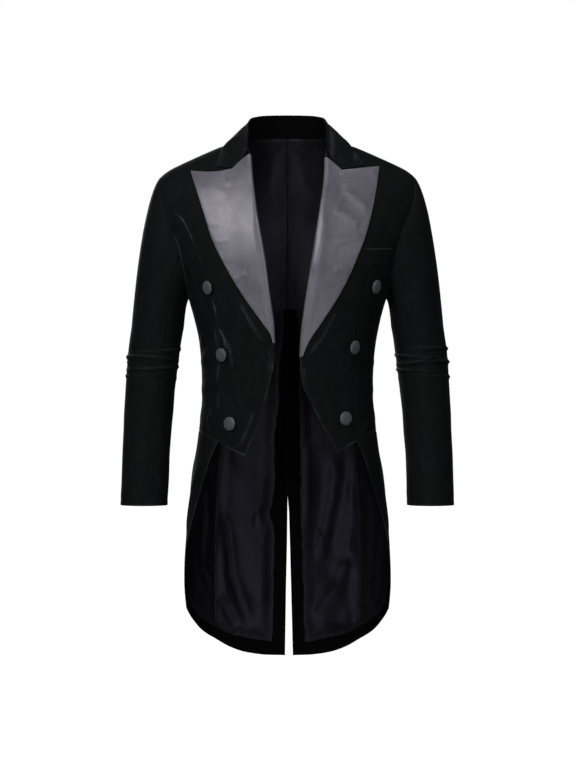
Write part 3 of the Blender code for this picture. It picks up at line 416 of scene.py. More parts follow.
# Skirt lining folds: distance in front of the tail seam, and height
SKIRT_LINING_FOLDS = {
    -1: [(9, 2.8, (26, -640), (20, -720), (26, -800)), (7, 3.2, (36, -796), (16, -826), (0, -834)),
        (7, -1.8, (34, -806), (12, -846)), (14, 3.0, (62, -690), (50, -790), (30, -870))],
    1: [(12, 2.8, (30, -650), (24, -740), (28, -830)), (12, 2.8, (64, -710), (50, -800), (36, -880))],
}
LAPEL_FOLDS = {
    -1: [(6, 0.9, (112, -62), (107, -74), (116, -86)), (5, 0.5, (150, -154), (136, -158), (118, -156)),
        (5, -0.4, (146, -164), (132, -167), (116, -163)),
        (5.5, 0.45, (138, -188), (122, -190), (106, -186)),
        (4.5, 0.45, (102, -262), (88, -257), (76, -248)),
        (4.5, -0.4, (96, -272), (84, -266), (74, -258)), (9, 0.8, (156, -78), (134, -92), (108, -98)),
        (8, -0.7, (160, -94), (140, -110), (116, -116)),
        (18, 1.8, (88, -110), (80, -180), (68, -246), (52, -296))],
    1: [(8, 2.2, (98, -84), (122, -104), (152, -130)), (8, -2.2, (90, -98), (114, -120), (142, -146)),
        (9, 1.9, (84, -128), (108, -140), (136, -160)), (7, -1.5, (84, -208), (108, -202), (138, -194)),
        (8, 1.3, (84, -192), (108, -186), (140, -178)), (6, -1.0, (88, -226), (104, -228), (120, -236)),
        (7, 1.0, (84, -244), (100, -244), (114, -250)), (4.5, 1.0, (152, -56), (162, -64), (170, -76)),
        (5, -1.0, (144, -60), (154, -72), (164, -86)), (10, 0.8, (66, -130), (60, -190), (50, -250))],
}
# Sleeve folds: distance round from the outside towards the front, and height
SLEEVE_FOLDS = {
    -1: [(2.0, 1.9, (72, -422.5), (91, -430.5), (112, -435), (127, -434)),
        (1.8, 1.4, (106, -426), (117, -431.5), (124, -434), (133, -427)),
        (1.7, -1.5, (66, -418.5), (84, -423.5), (98, -428.5), (112, -430)),
        (1.5, -1.4, (72, -441), (100, -441.5), (130, -439.5)),
        (1.5, 1.3, (32, -407.5), (48, -410), (64, -411)),
        (1.5, -1.2, (30, -411.5), (46, -414), (60, -415)),
        (1.4, 1.3, (2, -412), (14, -414), (26, -418)), (1.4, -1.3, (4, -419), (16, -421), (28, -426)),
        (1.4, 1.1, (8, -428), (22, -428), (36, -433)), (1.3, -1.0, (16, -436), (28, -433), (42, -437)),
        (3.0, 1.2, (200, -400), (250, -412), (290, -405)),
        (3.0, 1.2, (190, -430), (240, -440), (300, -428)), (9, 1.5, (70, -130), (52, -230), (60, -330)),
        (12, 1.2, (180, -160), (200, -260), (190, -340)), (9, 0.9, (60, -480), (80, -540), (70, -620))],
    1: [(1.5, -1.6, (134, -407), (118, -408.5), (104, -408)),
        (1.5, -1.6, (107, -421.5), (89, -418), (72, -413), (58, -408), (40, -407)),
        (1.6, 1.5, (110, -417), (90, -413.5), (72, -408.5), (50, -403)),
        (1.5, -1.5, (131, -435), (106, -432.5), (76, -432.5)),
        (1.6, 1.3, (128, -430), (104, -428), (80, -428)),
        (1.5, -1.3, (90, -391), (71, -395), (56, -391)), (1.5, 1.2, (88, -387), (70, -391), (54, -387)),
        (1.4, -1.2, (52, -389.5), (38, -391), (22, -389)),
        (1.4, 1.2, (36, -414), (20, -417), (4, -414)), (1.4, -1.2, (40, -421), (22, -423), (6, -420)),
        (3.0, 1.2, (200, -400), (250, -412), (290, -405)),
        (3.0, 1.2, (190, -430), (240, -440), (300, -428)), (9, 1.4, (80, -150), (60, -240), (66, -330)),
        (12, 1.2, (180, -160), (200, -260), (190, -340)), (9, 0.9, (84, -480), (64, -550), (74, -630))],
}
# Sheen streaks of the nap, painted lighter where it catches the light along seams and folds: half breadth,
# strength, then points
FRONT_STREAKS = {
    -1: [
        (1.7, 1.0, (214, -132), (200, -142), (190, -160), (178, -186), (166, -218), (155, -246), (146, -272)),
        (1.6, 1.0, (146, -286), (137, -312), (132, -342), (128, -392)),
        (1.6, 0.9, (142, -316), (132, -344), (119, -366), (112, -394)),
        (1.3, 0.45, (126, -414), (126, -450), (127, -500)),
        (2.0, 0.5, (116, -368), (108, -386), (102, -424)),
        (2.6, 0.4, (90, -300), (58, -360), (36, -380)), (1.6, 0.9, (38, -386), (30, -409), (25, -437)),
        (1.5, 0.5, (36, -409), (31, -452), (31, -458)),
        (2.6, 0.25, (60, -500), (84, -560), (100, -574))],
    1: [(2.4, 0.22, (92, -320), (62, -372), (40, -400)), (1.4, 0.2, (146, -290), (133, -380)),
        (1.4, 0.16, (130, -405), (128, -480)), (2.0, 0.25, (30, -420), (33, -450), (40, -480))],
}
# Painted sheen streaks on the side body: distance behind its front seam, and height
SIDE_STREAKS = {
    -1: [(1.5, 0.6, (4, -326), (8, -348), (7, -370), (2, -390)),
        (1.6, 0.6, (1, -408), (6, -426), (9, -446), (12, -458)),
        (1.8, 0.3, (3, -462), (8, -480), (4, -500)), (1.5, 0.5, (37, -512), (35, -532), (26, -545)),
        (1.5, 0.3, (30, -498), (26, -512))],
    1: [(1.8, 0.2, (40, -520), (22, -536), (6, -548))],
}
# Painted sheen along the armhole seam of the side body, by side: strength, and height where it starts
ARMHOLE_SHEEN = {-1: 0.55, 1: 0.1}
ARMHOLE_SHEEN_TOP = -160.0
# Its place below the seam, breadth, furthest place behind, and height over which it starts
ARMHOLE_SHEEN_PLACE = 1.5
ARMHOLE_SHEEN_BREADTH = 1.8
ARMHOLE_SHEEN_BEHIND = 20.0
ARMHOLE_SHEEN_FADE = 20.0
# Share of a fold's length over which each of its ends fades out
FOLD_FADE = 0.18
# How sharply a relief flattens out at 0
FLOOR_CRISP = 2.5

# Sewn edges that folds keep clear of: reach, then the edges
FRONT_SEWN = (9, "right", "top")
SIDE_SEWN = (9, "right", "left")
SKIRT_SEWN = (12, "right", "top")
BACK_SEWN = (10, "right", "top", "left")
UPPER_LINING_SEWN = (8, "left", "right")
UPPER_LINING_TOP = (9, "top")
SKIRT_LINING_SEWN = (14, "right", "top", "left", "bottom")
TAIL_LINING_SEWN = (26, "right", "left", "bottom")
LAPEL_SEWN = (5, "right", "top", "left")
COLLAR_SEWN = (6, "top", "bottom", "right")
# Forepart's folds start this far outside the lapel's edge and grow over the reach
LAPEL_COVER = 3.0
LAPEL_COVER_REACH = 14.0
# Most that a lining stands off, and least of the upper one's folds
SKIRT_LINING_MOST = 9.0
UPPER_LINING_MOST = 8.0
UPPER_LINING_LEAST = -0.2
TAIL_LINING_MOST = 14.0
# Where the tail lining comes clear of the upper one: drop below its top and reach, of its folds and of all
TAIL_CLEAR = (10, 40)
TAIL_CLEAR_ALL = (5, 30)

# Slow unevenness of a surface: rise, size and seed; all but back, welt and collar add the side to the seed
FRONT_WAVES = (0.5, 46, 3)
SIDE_WAVES = (0.5, 46, 13)
SKIRT_WAVES = (0.7, 60, 41)
BACK_WAVES = (0.7, 60, 61)
SKIRT_LINING_WAVES = (0.8, 24, 51)
UPPER_LINING_WAVES = (0.5, 30, 79)
TAIL_LINING_WAVES = (0.6, 26, 83)
LAPEL_WAVES = (0.25, 24, 91)
SLEEVE_WAVES = (0.9, 42, 101)
WELT_WAVES = (0.2, 16, 111)
COLLAR_WAVES = (0.35, 26, 131)

# Gathers along sewn edges: edge, height, reach, spacing and seed; all but the middle ones add the side
FRONT_PUCKERS = [("right", 0.45, 7, 15, 21)]
SIDE_PUCKERS = [("left", 0.45, 7, 15, 31), ("right", 0.35, 7, 17, 33), ("bottom", 0.4, 6, 13, 35)]
SKIRT_PUCKERS = [("top", 0.45, 7, 14, 43), ("right", 0.35, 7, 17, 45)]
SKIRT_LINING_PUCKERS = [("right", 0.5, 9, 6, 53), ("left", 0.5, 9, 6, 55), ("bottom", 0.6, 9, 6, 57)]
BACK_PUCKERS = [("right", 0.4, 7, 16, 63), ("top", 0.35, 7, 14, 65)]
BACK_MIDDLE_PUCKERS = [("left", 0.35, 7, 18, 67)]
UPPER_LINING_PUCKERS = [("top", 1.3, 9, 9, 73), ("bottom", 0.7, 9, 9, 77)]
UPPER_MIDDLE_PUCKERS = [("left", 0.9, 8, 12, 75)]
TAIL_LINING_PUCKERS = [("right", 0.7, 8, 6, 85), ("left", 0.7, 10, 7, 87), ("bottom", 1.0, 11, 6, 89)]
LAPEL_PUCKERS = [("right", 0.55, 9, 11, 93)]

# Edges lightened in colour, as rubbed nap and painted sheen along turned edges and seams: edge, breadth,
# strength
FRONT_RUB_AND_SHEEN = [("bottom", 2.4, 0.5), ("left", 2.0, 0.36)]
SIDE_RUB_AND_SHEEN = [("bottom", 2.2, 0.3), ("right", 2.0, 0.08)]
SKIRT_RUB_AND_SHEEN = [("top", 2.0, 0.2), ("left", 2.0, 0.2), ("bottom", 2.0, 0.12), ("right", 2.0, 0.08)]
BACK_RUB_AND_SHEEN = [("right", 2.0, 0.08), ("left", 2.0, 0.06), ("bottom", 2.0, 0.12), ("top", 2.0, 0.08)]
LAPEL_RUB_AND_SHEEN = [("right", 1.6, 0.85), ("top", 1.4, 0.4)]
WELT_RUB_AND_SHEEN = [("top", 1.8, 0.3), ("bottom", 1.6, 0.15), ("right", 1.6, 0.2)]
COLLAR_RUB_AND_SHEEN = [("right", 1.8, 0.25), ("top", 1.6, 0.15), ("bottom", 1.6, 0.15)]

# Camera at the photograph's angle, and the stage, in metres
CAMERA_DISTANCE = 5.0
CAMERA_ACROSS = 0.00095
CAMERA_HEIGHT = -0.454
PHOTO_SPAN = 768 * 0.0019
SENSOR = 36
FLOOR_HEIGHT = -1.5
FLOOR_REACH = 20.0
FLOOR_GLOW = 0.95
ROOM_LIGHT = 0.14
# Name, place, target, size, power in watts
LIGHTS = [("key_light", (-1.25, -2.4, 1.15), (0, 0, -0.2), (1.2, 1.4), 55),
    ("fill_light", (1.2, -2.6, 0.7), (0, 0, -0.3), (1.0, 1.4), 9),
    ("front_light", (0.5, -5.6, -0.1), (0, 0, -0.45), (2.2, 2.4), 30),
    ("low_light", (0.2, -2.2, -1.35), (0, 0, -0.1), (1.8, 0.7), 8),
    ("top_light", (0.2, -0.4, 2.2), (0, 0, 0), (1.6, 1.2), 14),
    ("back_light", (-1.2, 2.8, 0.8), (0, 0, -0.4), (1.4, 1.6), 55)]

# Outer and inner grid of each piece, read by the stitches on it
GRIDS = {}


def column(table, index):
    """One column of a table."""
    return np.array([row[index] for row in table], dtype=float)


def bell(gap, reach):
    """Share that falls softly from 1 at no distance to almost 0 at twice the reach."""
    return np.exp(-((gap / reach) ** 2))


def soft_step(share):
    """Smooth rise from 0 to 1."""
    share = np.clip(share, 0, 1)
    return share * share * (3 - 2 * share)


def soft_floor(relief):
    """Relief that flattens out softly where it would go below 0."""
    return np.logaddexp(0, FLOOR_CRISP * relief) / FLOOR_CRISP


def unit(vectors):
    """Vectors brought to length 1."""
    return vectors / np.linalg.norm(vectors, axis=-1, keepdims=True)


def run_along(line):
    """Distance along a line at each of its points."""
    return np.concatenate([[0], np.cumsum(np.linalg.norm(np.diff(line, axis=0), axis=1))])


def run_down(grid):
    """Distance down a grid of places at each of them."""
    steps = np.linalg.norm(np.diff(grid, axis=0), axis=-1)
    return np.concatenate([np.zeros((1, grid.shape[1])), np.cumsum(steps, axis=0)])


def bend_between(t, first, second, step, first_slope, second_slope):
    """Smooth curve from one value to the next, leaving and arriving at given slopes."""
    return ((2 * t**3 - 3 * t**2 + 1) * first + (t**3 - 2 * t**2 + t) * step * first_slope
            + (3 * t**2 - 2 * t**3) * second + (t**3 - t**2) * step * second_slope)


def smooth_value(places, values, wanted):
    """Value read off a smooth line through the table, with no overshoot."""
    places = np.asarray(places, dtype=float)
    values = np.asarray(values, dtype=float)
    steps = np.diff(places)
    slopes = np.diff(values) / steps
    tangents = np.zeros(len(places))
    tangents[0] = slopes[0]
    tangents[-1] = slopes[-1]
    for k in range(1, len(places) - 1):
        if slopes[k - 1] * slopes[k] > 0:
            tangents[k] = 2 * slopes[k - 1] * slopes[k] / (slopes[k - 1] + slopes[k])
    wanted = np.clip(np.asarray(wanted, dtype=float), places[0], places[-1])
    cell = np.clip(np.searchsorted(places, wanted) - 1, 0, len(steps) - 1)
    t = (wanted - places[cell]) / steps[cell]
    return bend_between(t, values[cell], values[cell + 1], steps[cell], tangents[cell], tangents[cell + 1])


def torso_at(z):
    """Half width, depth in front and depth behind at a height."""
    heights = column(TORSO, 0)[::-1]
    return [smooth_value(heights, column(TORSO, k)[::-1], z) for k in (1, 2, 3)]


def shoulder_at(x):
    """Height of the shoulder line at a half width."""
    return smooth_value(column(SHOULDER_LINE, 0), column(SHOULDER_LINE, 1), x)


def trace(points, count):
    """Points evenly spaced along a smooth line through a few given ones."""
    points = np.asarray(points, dtype=float)
    if len(points) == 2:
        return points[0] + (points[1] - points[0]) * np.linspace(0, 1, count)[:, None]
    chord = run_along(points)
    slopes = np.gradient(points, chord, axis=0)
    fine = np.linspace(0, chord[-1], LINE_POINTS)
    cell = np.clip(np.searchsorted(chord, fine) - 1, 0, len(chord) - 2)
    step = (chord[cell + 1] - chord[cell])[:, None]
    t = ((fine - chord[cell])[:, None]) / step
    line = bend_between(t, points[cell], points[cell + 1], step, slopes[cell], slopes[cell + 1])
    along = run_along(line)
    wanted = np.linspace(0, along[-1], count)
    return np.stack([np.interp(wanted, along, line[:, k]) for k in range(line.shape[1])], axis=1)


def chain(*lines):
    """Lines that share their end points, joined into one."""
    return np.concatenate([lines[0]] + [line[1:] for line in lines[1:]])


def as_path(line, way):
    """Half width and height turned into half width and distance down from the shoulder line.

    The way is -1 in front and 1 behind, and gives the distance its sign.
    """
    x, z = np.asarray(line, dtype=float).T
    fall = np.maximum(shoulder_at(x) - z, 0)
    drop = FRONT_DROP if way < 0 else BACK_DROP
    curved = drop * np.arccos(np.clip(1 - fall / drop, 0, 1))
    straight = drop * np.pi / 2 + fall - drop
    return np.stack([x, way * np.where(fall < drop, curved, straight)], axis=1)


def as_angle(line, way):
    """Half width and height turned into angle and height. The way is -1 in front and 1 behind."""
    x, z = np.asarray(line, dtype=float).T
    turn = np.degrees(np.arcsin(np.clip(x / torso_at(z)[0], 0, 1) ** (SQUARENESS / 2)))
    return np.stack([turn if way < 0 else 180 - turn, z], axis=1)


def body_by_path(x, path):
    """Place on the body for a half width and a signed distance from the shoulder line."""
    signed = x
    x = np.abs(x)
    drop = np.where(path < 0, FRONT_DROP, BACK_DROP)
    length = np.abs(path)
    bend = length / drop
    curved = bend < np.pi / 2
    fall = np.where(curved, drop * (1 - np.cos(bend)), length - drop * np.pi / 2 + drop)
    swell = np.where(curved, np.sin(bend), 1.0)
    z = shoulder_at(x) - fall
    half, front, back = torso_at(z)
    ratio = np.clip(x / half, 0, 0.9999)
    depth = (1 - ratio**SQUARENESS) ** (1 / SQUARENESS)
    y = np.where(path < 0, -front, back) * swell * depth
    return np.stack([signed, y, z], axis=-1)


def body_by_angle(angle, z):
    """Place on the body for an angle in degrees from the centre front and a height."""
    turn = np.radians(angle)
    half, front, back = torso_at(z)
    x = half * np.abs(np.sin(turn)) ** (2 / SQUARENESS)
    fall = np.maximum(shoulder_at(x) - z, 0)
    ahead = np.cos(turn) > 0
    drop = np.where(ahead, FRONT_DROP, BACK_DROP)
    swell = np.sqrt(1 - (1 - np.clip(fall / drop, 0, 1)) ** 2)
    depth = np.abs(np.cos(turn)) ** (2 / SQUARENESS)
    y = np.where(ahead, -front, back) * swell * depth
    return np.stack([x, y, z + 0 * y], axis=-1)


def normals_of(surface, first, second):
    """Unit normals of the body, facing out from its middle."""
    along = surface(first + NORMAL_STEP, second) - surface(first - NORMAL_STEP, second)
    down = surface(first, second + NORMAL_STEP) - surface(first, second - NORMAL_STEP)
    normal = unit(np.cross(along, down))
    outward = surface(first, second)
    outward[..., 2] = (outward[..., 2] - BODY_MIDDLE) * NORMAL_FLAT
    return normal * np.where(np.sum(normal * outward, axis=-1, keepdims=True) < 0, -1, 1)


def fill(top, bottom, left, right, ease=1):
    """Grid of values between four edge lines that share their corners.

    The bends of the top line fade downwards, the faster the higher ease is.
    """
    across = np.linspace(0, 1, len(top))[None, :, None]
    down = np.linspace(0, 1, len(left))[:, None, None]
    sides = left[:, None] * (1 - across) + right[:, None] * across
    top_bend = top[None] - top[0] * (1 - across) - top[-1] * across
    bottom_bend = bottom[None] - bottom[0] * (1 - across) - bottom[-1] * across
    return sides + top_bend * (1 - down) ** ease + bottom_bend * down


def mirrored(grid, side):
    """Places of the wearer's left, or their mirror image on the right."""
    result = grid.copy()
    result[..., 0] *= side
    return result


def armhole_loop(seams):
    """Places and normals round the armhole, from the shoulder tip down the front and up the back."""
    front = as_path(seams["armhole_front"], -1)
    back = as_path(seams["armhole_back"], 1)
    low = seams["armhole_low"]
    place = [body_by_path(*front.T)[:-1], body_by_angle(*low.T)[:-1], body_by_path(*back.T)[:0:-1]]
    normal = [normals_of(body_by_path, *front.T)[:-1], normals_of(body_by_angle, *low.T)[:-1],
              normals_of(body_by_path, *back.T)[:0:-1]]
    return np.concatenate(place), np.concatenate(normal)


def ring_normals(grid):
    """Unit normals of rings whose last place meets the first, facing away from their middle."""
    across = np.roll(grid, -1, axis=1) - np.roll(grid, 1, axis=1)
    normal = unit(np.cross(across, np.gradient(grid, axis=0)))
    return normal * np.sign(np.sum(normal * (grid - grid.mean(axis=1, keepdims=True))))


def over_body(x, path):
    """Place where the collar's leaf rests, clear of the body."""
    return body_by_path(x, path) + normals_of(body_by_path, x, path) * COLLAR_REST


def collar_section(row, end):
    """Cross-section of the collar at one station: up the stand, over the fold and down the leaf."""
    seam_x, seam_path, fold_x, fold_y, fold_z, leaf_x, leaf_path = [float(value) for value in row]
    if end:
        leaf_x, leaf_path = as_path(end[-1:], -1)[0]
    up = np.array([0, 0, 1.0])
    fold = np.array([fold_x, fold_y, fold_z])
    leaf = over_body(np.array(leaf_x), np.array(leaf_path))
    out = unit((leaf - fold) * [1, 1, 0])
    seam = body_by_path(np.array(seam_x), np.array(seam_path)) - out * COLLAR_WALL + up * COLLAR_WALL / 2
    bend = COLLAR_BEND
    leg = fold + out * bend * 2 - up * bend
    points = [seam, (seam + fold - up * bend) / 2, fold - up * bend, fold + (out - up) * bend * 0.3,
              fold + out * bend, fold + out * bend * 1.7 - up * bend * 0.3, leg]
    if end:
        points += list(over_body(*as_path(end[:-1], -1).T))
    else:
        away = np.cross(np.cross(leaf - leg, up), leaf - leg)
        away *= COLLAR_BULGE * np.sign(away[2]) / np.linalg.norm(away)
        points += [leg + (leaf - leg) * share + away for share in (1 / 3, 2 / 3)]
    return np.array(points + [leaf])


def finer(count):
    """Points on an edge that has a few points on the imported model."""
    return (count - 1) * FINE + 1


def shared_seams():
    """Seam lines on the body, read by both pieces at a seam, and the top edge of the back."""
    seams = {}
    neck_point, shoulder_tip = BACK_NECK[-1][0], ARMHOLE_FRONT_TOP[0][0]
    seams["shoulder"] = trace([(neck_point, 0), (shoulder_tip, 0)], finer(7))
    seams["princess"] = trace(PRINCESS, finer(15))
    seams["back"] = trace(BACK_SEAM, finer(15))
    seams["skirt"] = trace(SKIRT_SEAM, finer(11))
    seams["armhole_front"] = trace(ARMHOLE_FRONT_TOP, finer(5))
    seams["armhole_back"] = trace(ARMHOLE_BACK_TOP, finer(5))
    front_low = trace(as_angle(ARMHOLE_FRONT_LOW, -1), finer(7))
    back_low = trace(as_angle(ARMHOLE_BACK_LOW, 1), finer(6))
    front_low[-1, 0] = back_low[-1, 0] = 90
    seams["armhole_low"] = chain(front_low, back_low[::-1])
    for key, way in (("princess", -1), ("back", 1), ("skirt", 1)):
        seams[key + "_angles"] = as_angle(seams[key], way)
    front = trace([seams["princess_angles"][-1], WAIST_SEAM[0]], finer(2))
    rest = trace(WAIST_SEAM + [seams["back_angles"][-1]], len(seams["armhole_low"]) - FINE)
    seams["waist"] = chain(front, rest)
    neck_x = np.linspace(0, neck_point, finer(5))
    neck_z = smooth_value(column(BACK_NECK, 0), column(BACK_NECK, 1), neck_x)
    neck = as_path(np.stack([neck_x, neck_z], axis=1), 1)
    neck[-1] = seams["shoulder"][0]
    seams["back_top"] = chain(neck, seams["shoulder"])
    return seams


def uneven(along, spacing, seed):
    """Smooth random value between -1 and 1 along a line."""
    knots = np.random.default_rng(seed).uniform(-1, 1, KNOTS)
    place = np.asarray(along, dtype=float) / spacing + 50
    cell = np.floor(place).astype(int) % (KNOTS - 96)
    t = place - np.floor(place)
    t = t * t * (3 - 2 * t)
    return knots[cell] * (1 - t) + knots[cell + 1] * t


def rolling(across, down, size, seed):
    """Smooth random value between -1 and 1 over a surface."""
    knots = np.random.default_rng(seed).uniform(-1, 1, (KNOT_SIDE, KNOT_SIDE))
    u, v = across / size + 40, down / size + 40
    i, j = np.floor(u).astype(int) % (KNOT_SIDE - 1), np.floor(v).astype(int) % (KNOT_SIDE - 1)
    s, t = u - np.floor(u), v - np.floor(v)
    s, t = s * s * (3 - 2 * s), t * t * (3 - 2 * t)
    return ((knots[i, j] * (1 - s) + knots[i + 1, j] * s) * (1 - t)
            + (knots[i, j + 1] * (1 - s) + knots[i + 1, j + 1] * s) * t)


def waves(across, down, table, side=0, above=0):
    """Slow unevenness of a surface from its table; above is 1 where it only stands proud."""
    rise, size, seed = table
    return rise * (above + rolling(across, down, size, seed + side))


def crease(across, down, points, breadth, rise):
    """Soft ridge or trough along a line of points, faded out towards both its ends."""
    points = np.asarray(points, dtype=float)
    starts = run_along(points)
    closest = np.full(across.shape, 1e9)
    along = np.zeros(across.shape)
    for k, leg in enumerate(np.linalg.norm(np.diff(points, axis=0), axis=1)):
        run = (points[k + 1] - points[k]) / leg
        off_x, off_z = across - points[k, 0], down - points[k, 1]
        part = np.clip(off_x * run[0] + off_z * run[1], 0, leg)
        gap = np.hypot(off_x - part * run[0], off_z - part * run[1])
        closer = gap < closest
        closest = np.where(closer, gap, closest)
        along = np.where(closer, (starts[k] + part) / starts[-1], along)
    fade = np.clip(along / FOLD_FADE, 0, 1) * np.clip((1 - along) / FOLD_FADE, 0, 1)
    return rise * bell(closest, breadth) * fade * fade * (3 - 2 * fade)


def creases(across, down, table):
    """Sum of soft ridges and troughs, one for each row of a table."""
    return sum(crease(across, down, points, breadth, rise) for breadth, rise, *points in table)


def edge_rows(cells):
    """Adds rows and columns close to the four edges, for a seam's rounded shoulder."""
    for axis in (0, 1):
        cells = np.moveaxis(cells, axis, 0)
        first = [cells[0] + (cells[1] - cells[0]) * share for share in EDGE_SHARES]
        last = [cells[-1] + (cells[-2] - cells[-1]) * share for share in EDGE_SHARES[::-1]]
        cells = np.concatenate([cells[:1], first, cells[1:-1], last, cells[-1:]])
        cells = np.moveaxis(cells, 0, axis)
    return cells


def gaps_from_edges(place):
    """Distance along the cloth from each of the four edges."""
    down, across = run_down(place), run_down(place.swapaxes(0, 1)).T
    return {"top": down, "bottom": down[-1] - down, "left": across, "right": across[:, -1:] - across}


def nearest(gaps, *edges):
    """Distance from the nearest of the named edges."""
    return np.minimum.reduce([gaps[edge] for edge in edges])


def off_edges(gaps, reach, *edges):
    """Share that grows from 0 at the named edges to 1 a reach away."""
    return np.clip(nearest(gaps, *edges) / reach, 0, 1)


def softly_off_edges(gaps, reach, *edges):
    """The same share with a smooth start and end."""
    return soft_step(nearest(gaps, *edges) / reach)


def seam_dip(gap):
    """Dip of the cloth into a sewn seam."""
    return SEAM_DIP * bell(gap, SEAM_REACH)


def pucker(gaps, edge, height, reach, spacing, seed):
    """Small uneven gathers along a sewn edge."""
    along = gaps["top"] if edge in ("left", "right") else gaps["left"]
    wave = uneven(along + PUCKER_SLANT * gaps[edge], spacing, seed)
    wave = wave + PUCKER_SECOND * uneven(along, spacing * PUCKER_FINE, seed + 1)
    return height * wave * np.exp(-gaps[edge] / reach) * np.clip(gaps[edge] / PUCKER_START, 0, 1)


def puckers(gaps, table, side=0, shape=np.positive):
    """Sum of the gathers of a table; with np.abs as the shape they only stand proud."""
    return sum(shape(pucker(gaps, *row, seed + side)) for *row, seed in table)


def edge_rub_and_sheen(gaps, table):
    """How much the colour is lightened along seams and folded edges, as rubbed nap and painted sheen, from 0
    to 1.
    """
    rubs = [strength * bell(gaps[edge], breadth) for edge, breadth, strength in table]
    return np.maximum.reduce([0 * gaps["top"]] + rubs)


def loop_of(rows, columns):
    """Indices of a grid's border, once round, with the border's inner neighbour of each."""
    index = np.arange(rows * columns).reshape(rows, columns)
    border = np.concatenate([index[0, :-1], index[:-1, -1], index[-1, :0:-1], index[:0:-1, 0]])
    inner = np.concatenate([index[1, :-1], index[:-1, -2], index[-2, :0:-1], index[:0:-1, 1]])
    inner[[0, columns - 1, columns + rows - 2, 2 * columns + rows - 3]] = [
        index[1, 1], index[1, -2], index[-2, -2], index[-2, 1]]
    return border, inner


def placed(name, data):
    """New object of the scene."""
    item = bpy.data.objects.new(name, data)
    bpy.context.scene.collection.objects.link(item)
    return item


def smooth_mesh(name, places, faces, cloth):
    """Smooth mesh of one cloth, from places in millimetres."""
    mesh = bpy.data.meshes.new(name)
    mesh.from_pydata(places * MM, [], faces)
    mesh.shade_smooth()
    mesh.materials.append(CLOTHS[cloth])
    return mesh


def declare(item, node):
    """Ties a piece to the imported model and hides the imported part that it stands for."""
    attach(item, "root")
    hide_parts(node)


def cloth_object(piece, side, outer, inner, cloth, rub_and_sheen, overlap=SEAM_LAP, stand=0.0):
    """Closed wall of cloth with rounded edges between an outer and an inner grid of places."""
    name = piece.format(SIDES[side])
    outer, inner = mirrored(outer, side), mirrored(inner, side)
    GRIDS[name] = outer, inner
    rows, columns = outer.shape[:2]
    count = rows * columns
    outer, inner, rub_and_sheen = outer.reshape(-1, 3).copy(), inner.reshape(-1, 3).copy(), rub_and_sheen.reshape(-1)
    border, neighbour = loop_of(rows, columns)
    out = outer[border] - outer[neighbour]
    length = np.linalg.norm(out, axis=1, keepdims=True)
    out = out / np.maximum(length, 1e-6)
    wall = np.linalg.norm(outer[border] - inner[border], axis=1, keepdims=True)
    radius = np.minimum(wall * 0.5, length * 0.6)
    outer[border] -= out * radius
    inner[border] -= out * radius
    rings = []
    for share in RIM_SHARES:
        through = (inner[border] - outer[border]) * (1 - math.cos(math.pi * share)) / 2
        rings.append(outer[border] + through + out * (radius + overlap) * math.sin(math.pi * share))
    places = np.concatenate([outer, inner] + rings)
    index = np.arange(count).reshape(rows, columns)
    quads = np.stack([index[:-1, :-1], index[:-1, 1:], index[1:, 1:], index[1:, :-1]], axis=-1)
    quads = quads.reshape(-1, 4)
    faces = [quads, quads[:, ::-1] + count]
    loops = [border] + [2 * count + k * len(border) + np.arange(len(border)) for k in range(len(rings))]
    loops.append(border + count)
    for upper, lower in zip(loops, loops[1:]):
        faces.append(np.stack([np.roll(upper, -1), upper, lower, np.roll(lower, -1)], axis=-1))
    faces = np.concatenate(faces)
    middle = faces[len(quads) // 2]
    normal = np.cross(places[middle[1]] - places[middle[0]], places[middle[3]] - places[middle[0]])
    if np.dot(normal, places[middle[0]] - places[middle[0] + count]) < 0:
        faces = faces[:, ::-1]
    mesh = smooth_mesh(name + "_cloth", places, faces.tolist(), cloth)
    # Per-point share of rubbed nap and painted sheen, which lightens the colour of the velvet and the satin
    values = np.concatenate([rub_and_sheen, rub_and_sheen, np.tile(rub_and_sheen[border], len(rings))])
    mesh.attributes.new("rub_and_sheen", "FLOAT", "POINT").data.foreach_set("value", values)
    if cloth == "velvet":
        # Inner faces, and the outside of the collar's stand, take the near-black facing that also paints the
        # shade inside the coat
        mesh.materials.append(CLOTHS["facing"])
        inside = np.zeros(len(faces), dtype=np.int32)
        inside[len(quads):2 * len(quads)] = 1
        if stand:
            inside[:len(quads)] = np.tile(np.arange(columns - 1) < stand * columns, rows - 1)
        mesh.polygons.foreach_set("material_index", inside)
    slot, flat, area, below = CUTS[piece]
    below = [node.format(SIDES[side]) for node in below]
    declare(placed(name + "_cloth", mesh), name)


def body_sheet(piece, side, surface, cells, cloth, wall, lift, rise, rubbed_and_sheen=(), streaks=None):
    """Sheet on the body. The lift is the gap under it.

    Its own relief is rise(place, gaps), and the painted sheen streaks beside its edges are streaks(place,
    gaps).
    """
    cells = edge_rows(cells)
    place = surface(cells[..., 0], cells[..., 1])
    normal = normals_of(surface, cells[..., 0], cells[..., 1])
    gaps = gaps_from_edges(place)
    relief = rise(place, gaps)
    outer = place + normal * (lift + wall + relief)[..., None]
    inner = place + normal * (lift + relief)[..., None]
    rub_and_sheen_values = edge_rub_and_sheen(gaps, rubbed_and_sheen)
    if streaks:
        rub_and_sheen_values = np.maximum(rub_and_sheen_values, streaks(place, gaps))
    cloth_object(piece, side, outer, inner, cloth, rub_and_sheen_values)


def shell_sheet(piece, side, surface, cells, rise, rubbed_and_sheen, streaks=None):
    """Velvet sheet whose outside lies on the body form."""
    body_sheet(piece, side, surface, cells, "velvet", SHELL_WALL, -SHELL_WALL, rise, rubbed_and_sheen, streaks)


def lining_sheet(piece, side, surface, cells, cloth, hang):
    """Lining inside the shell, off which it hangs by hang(place, gaps)."""
    body_sheet(piece, side, surface, cells, cloth, LINING_WALL, -LINING_DEPTH,
               lambda place, gaps: -hang(place, gaps))


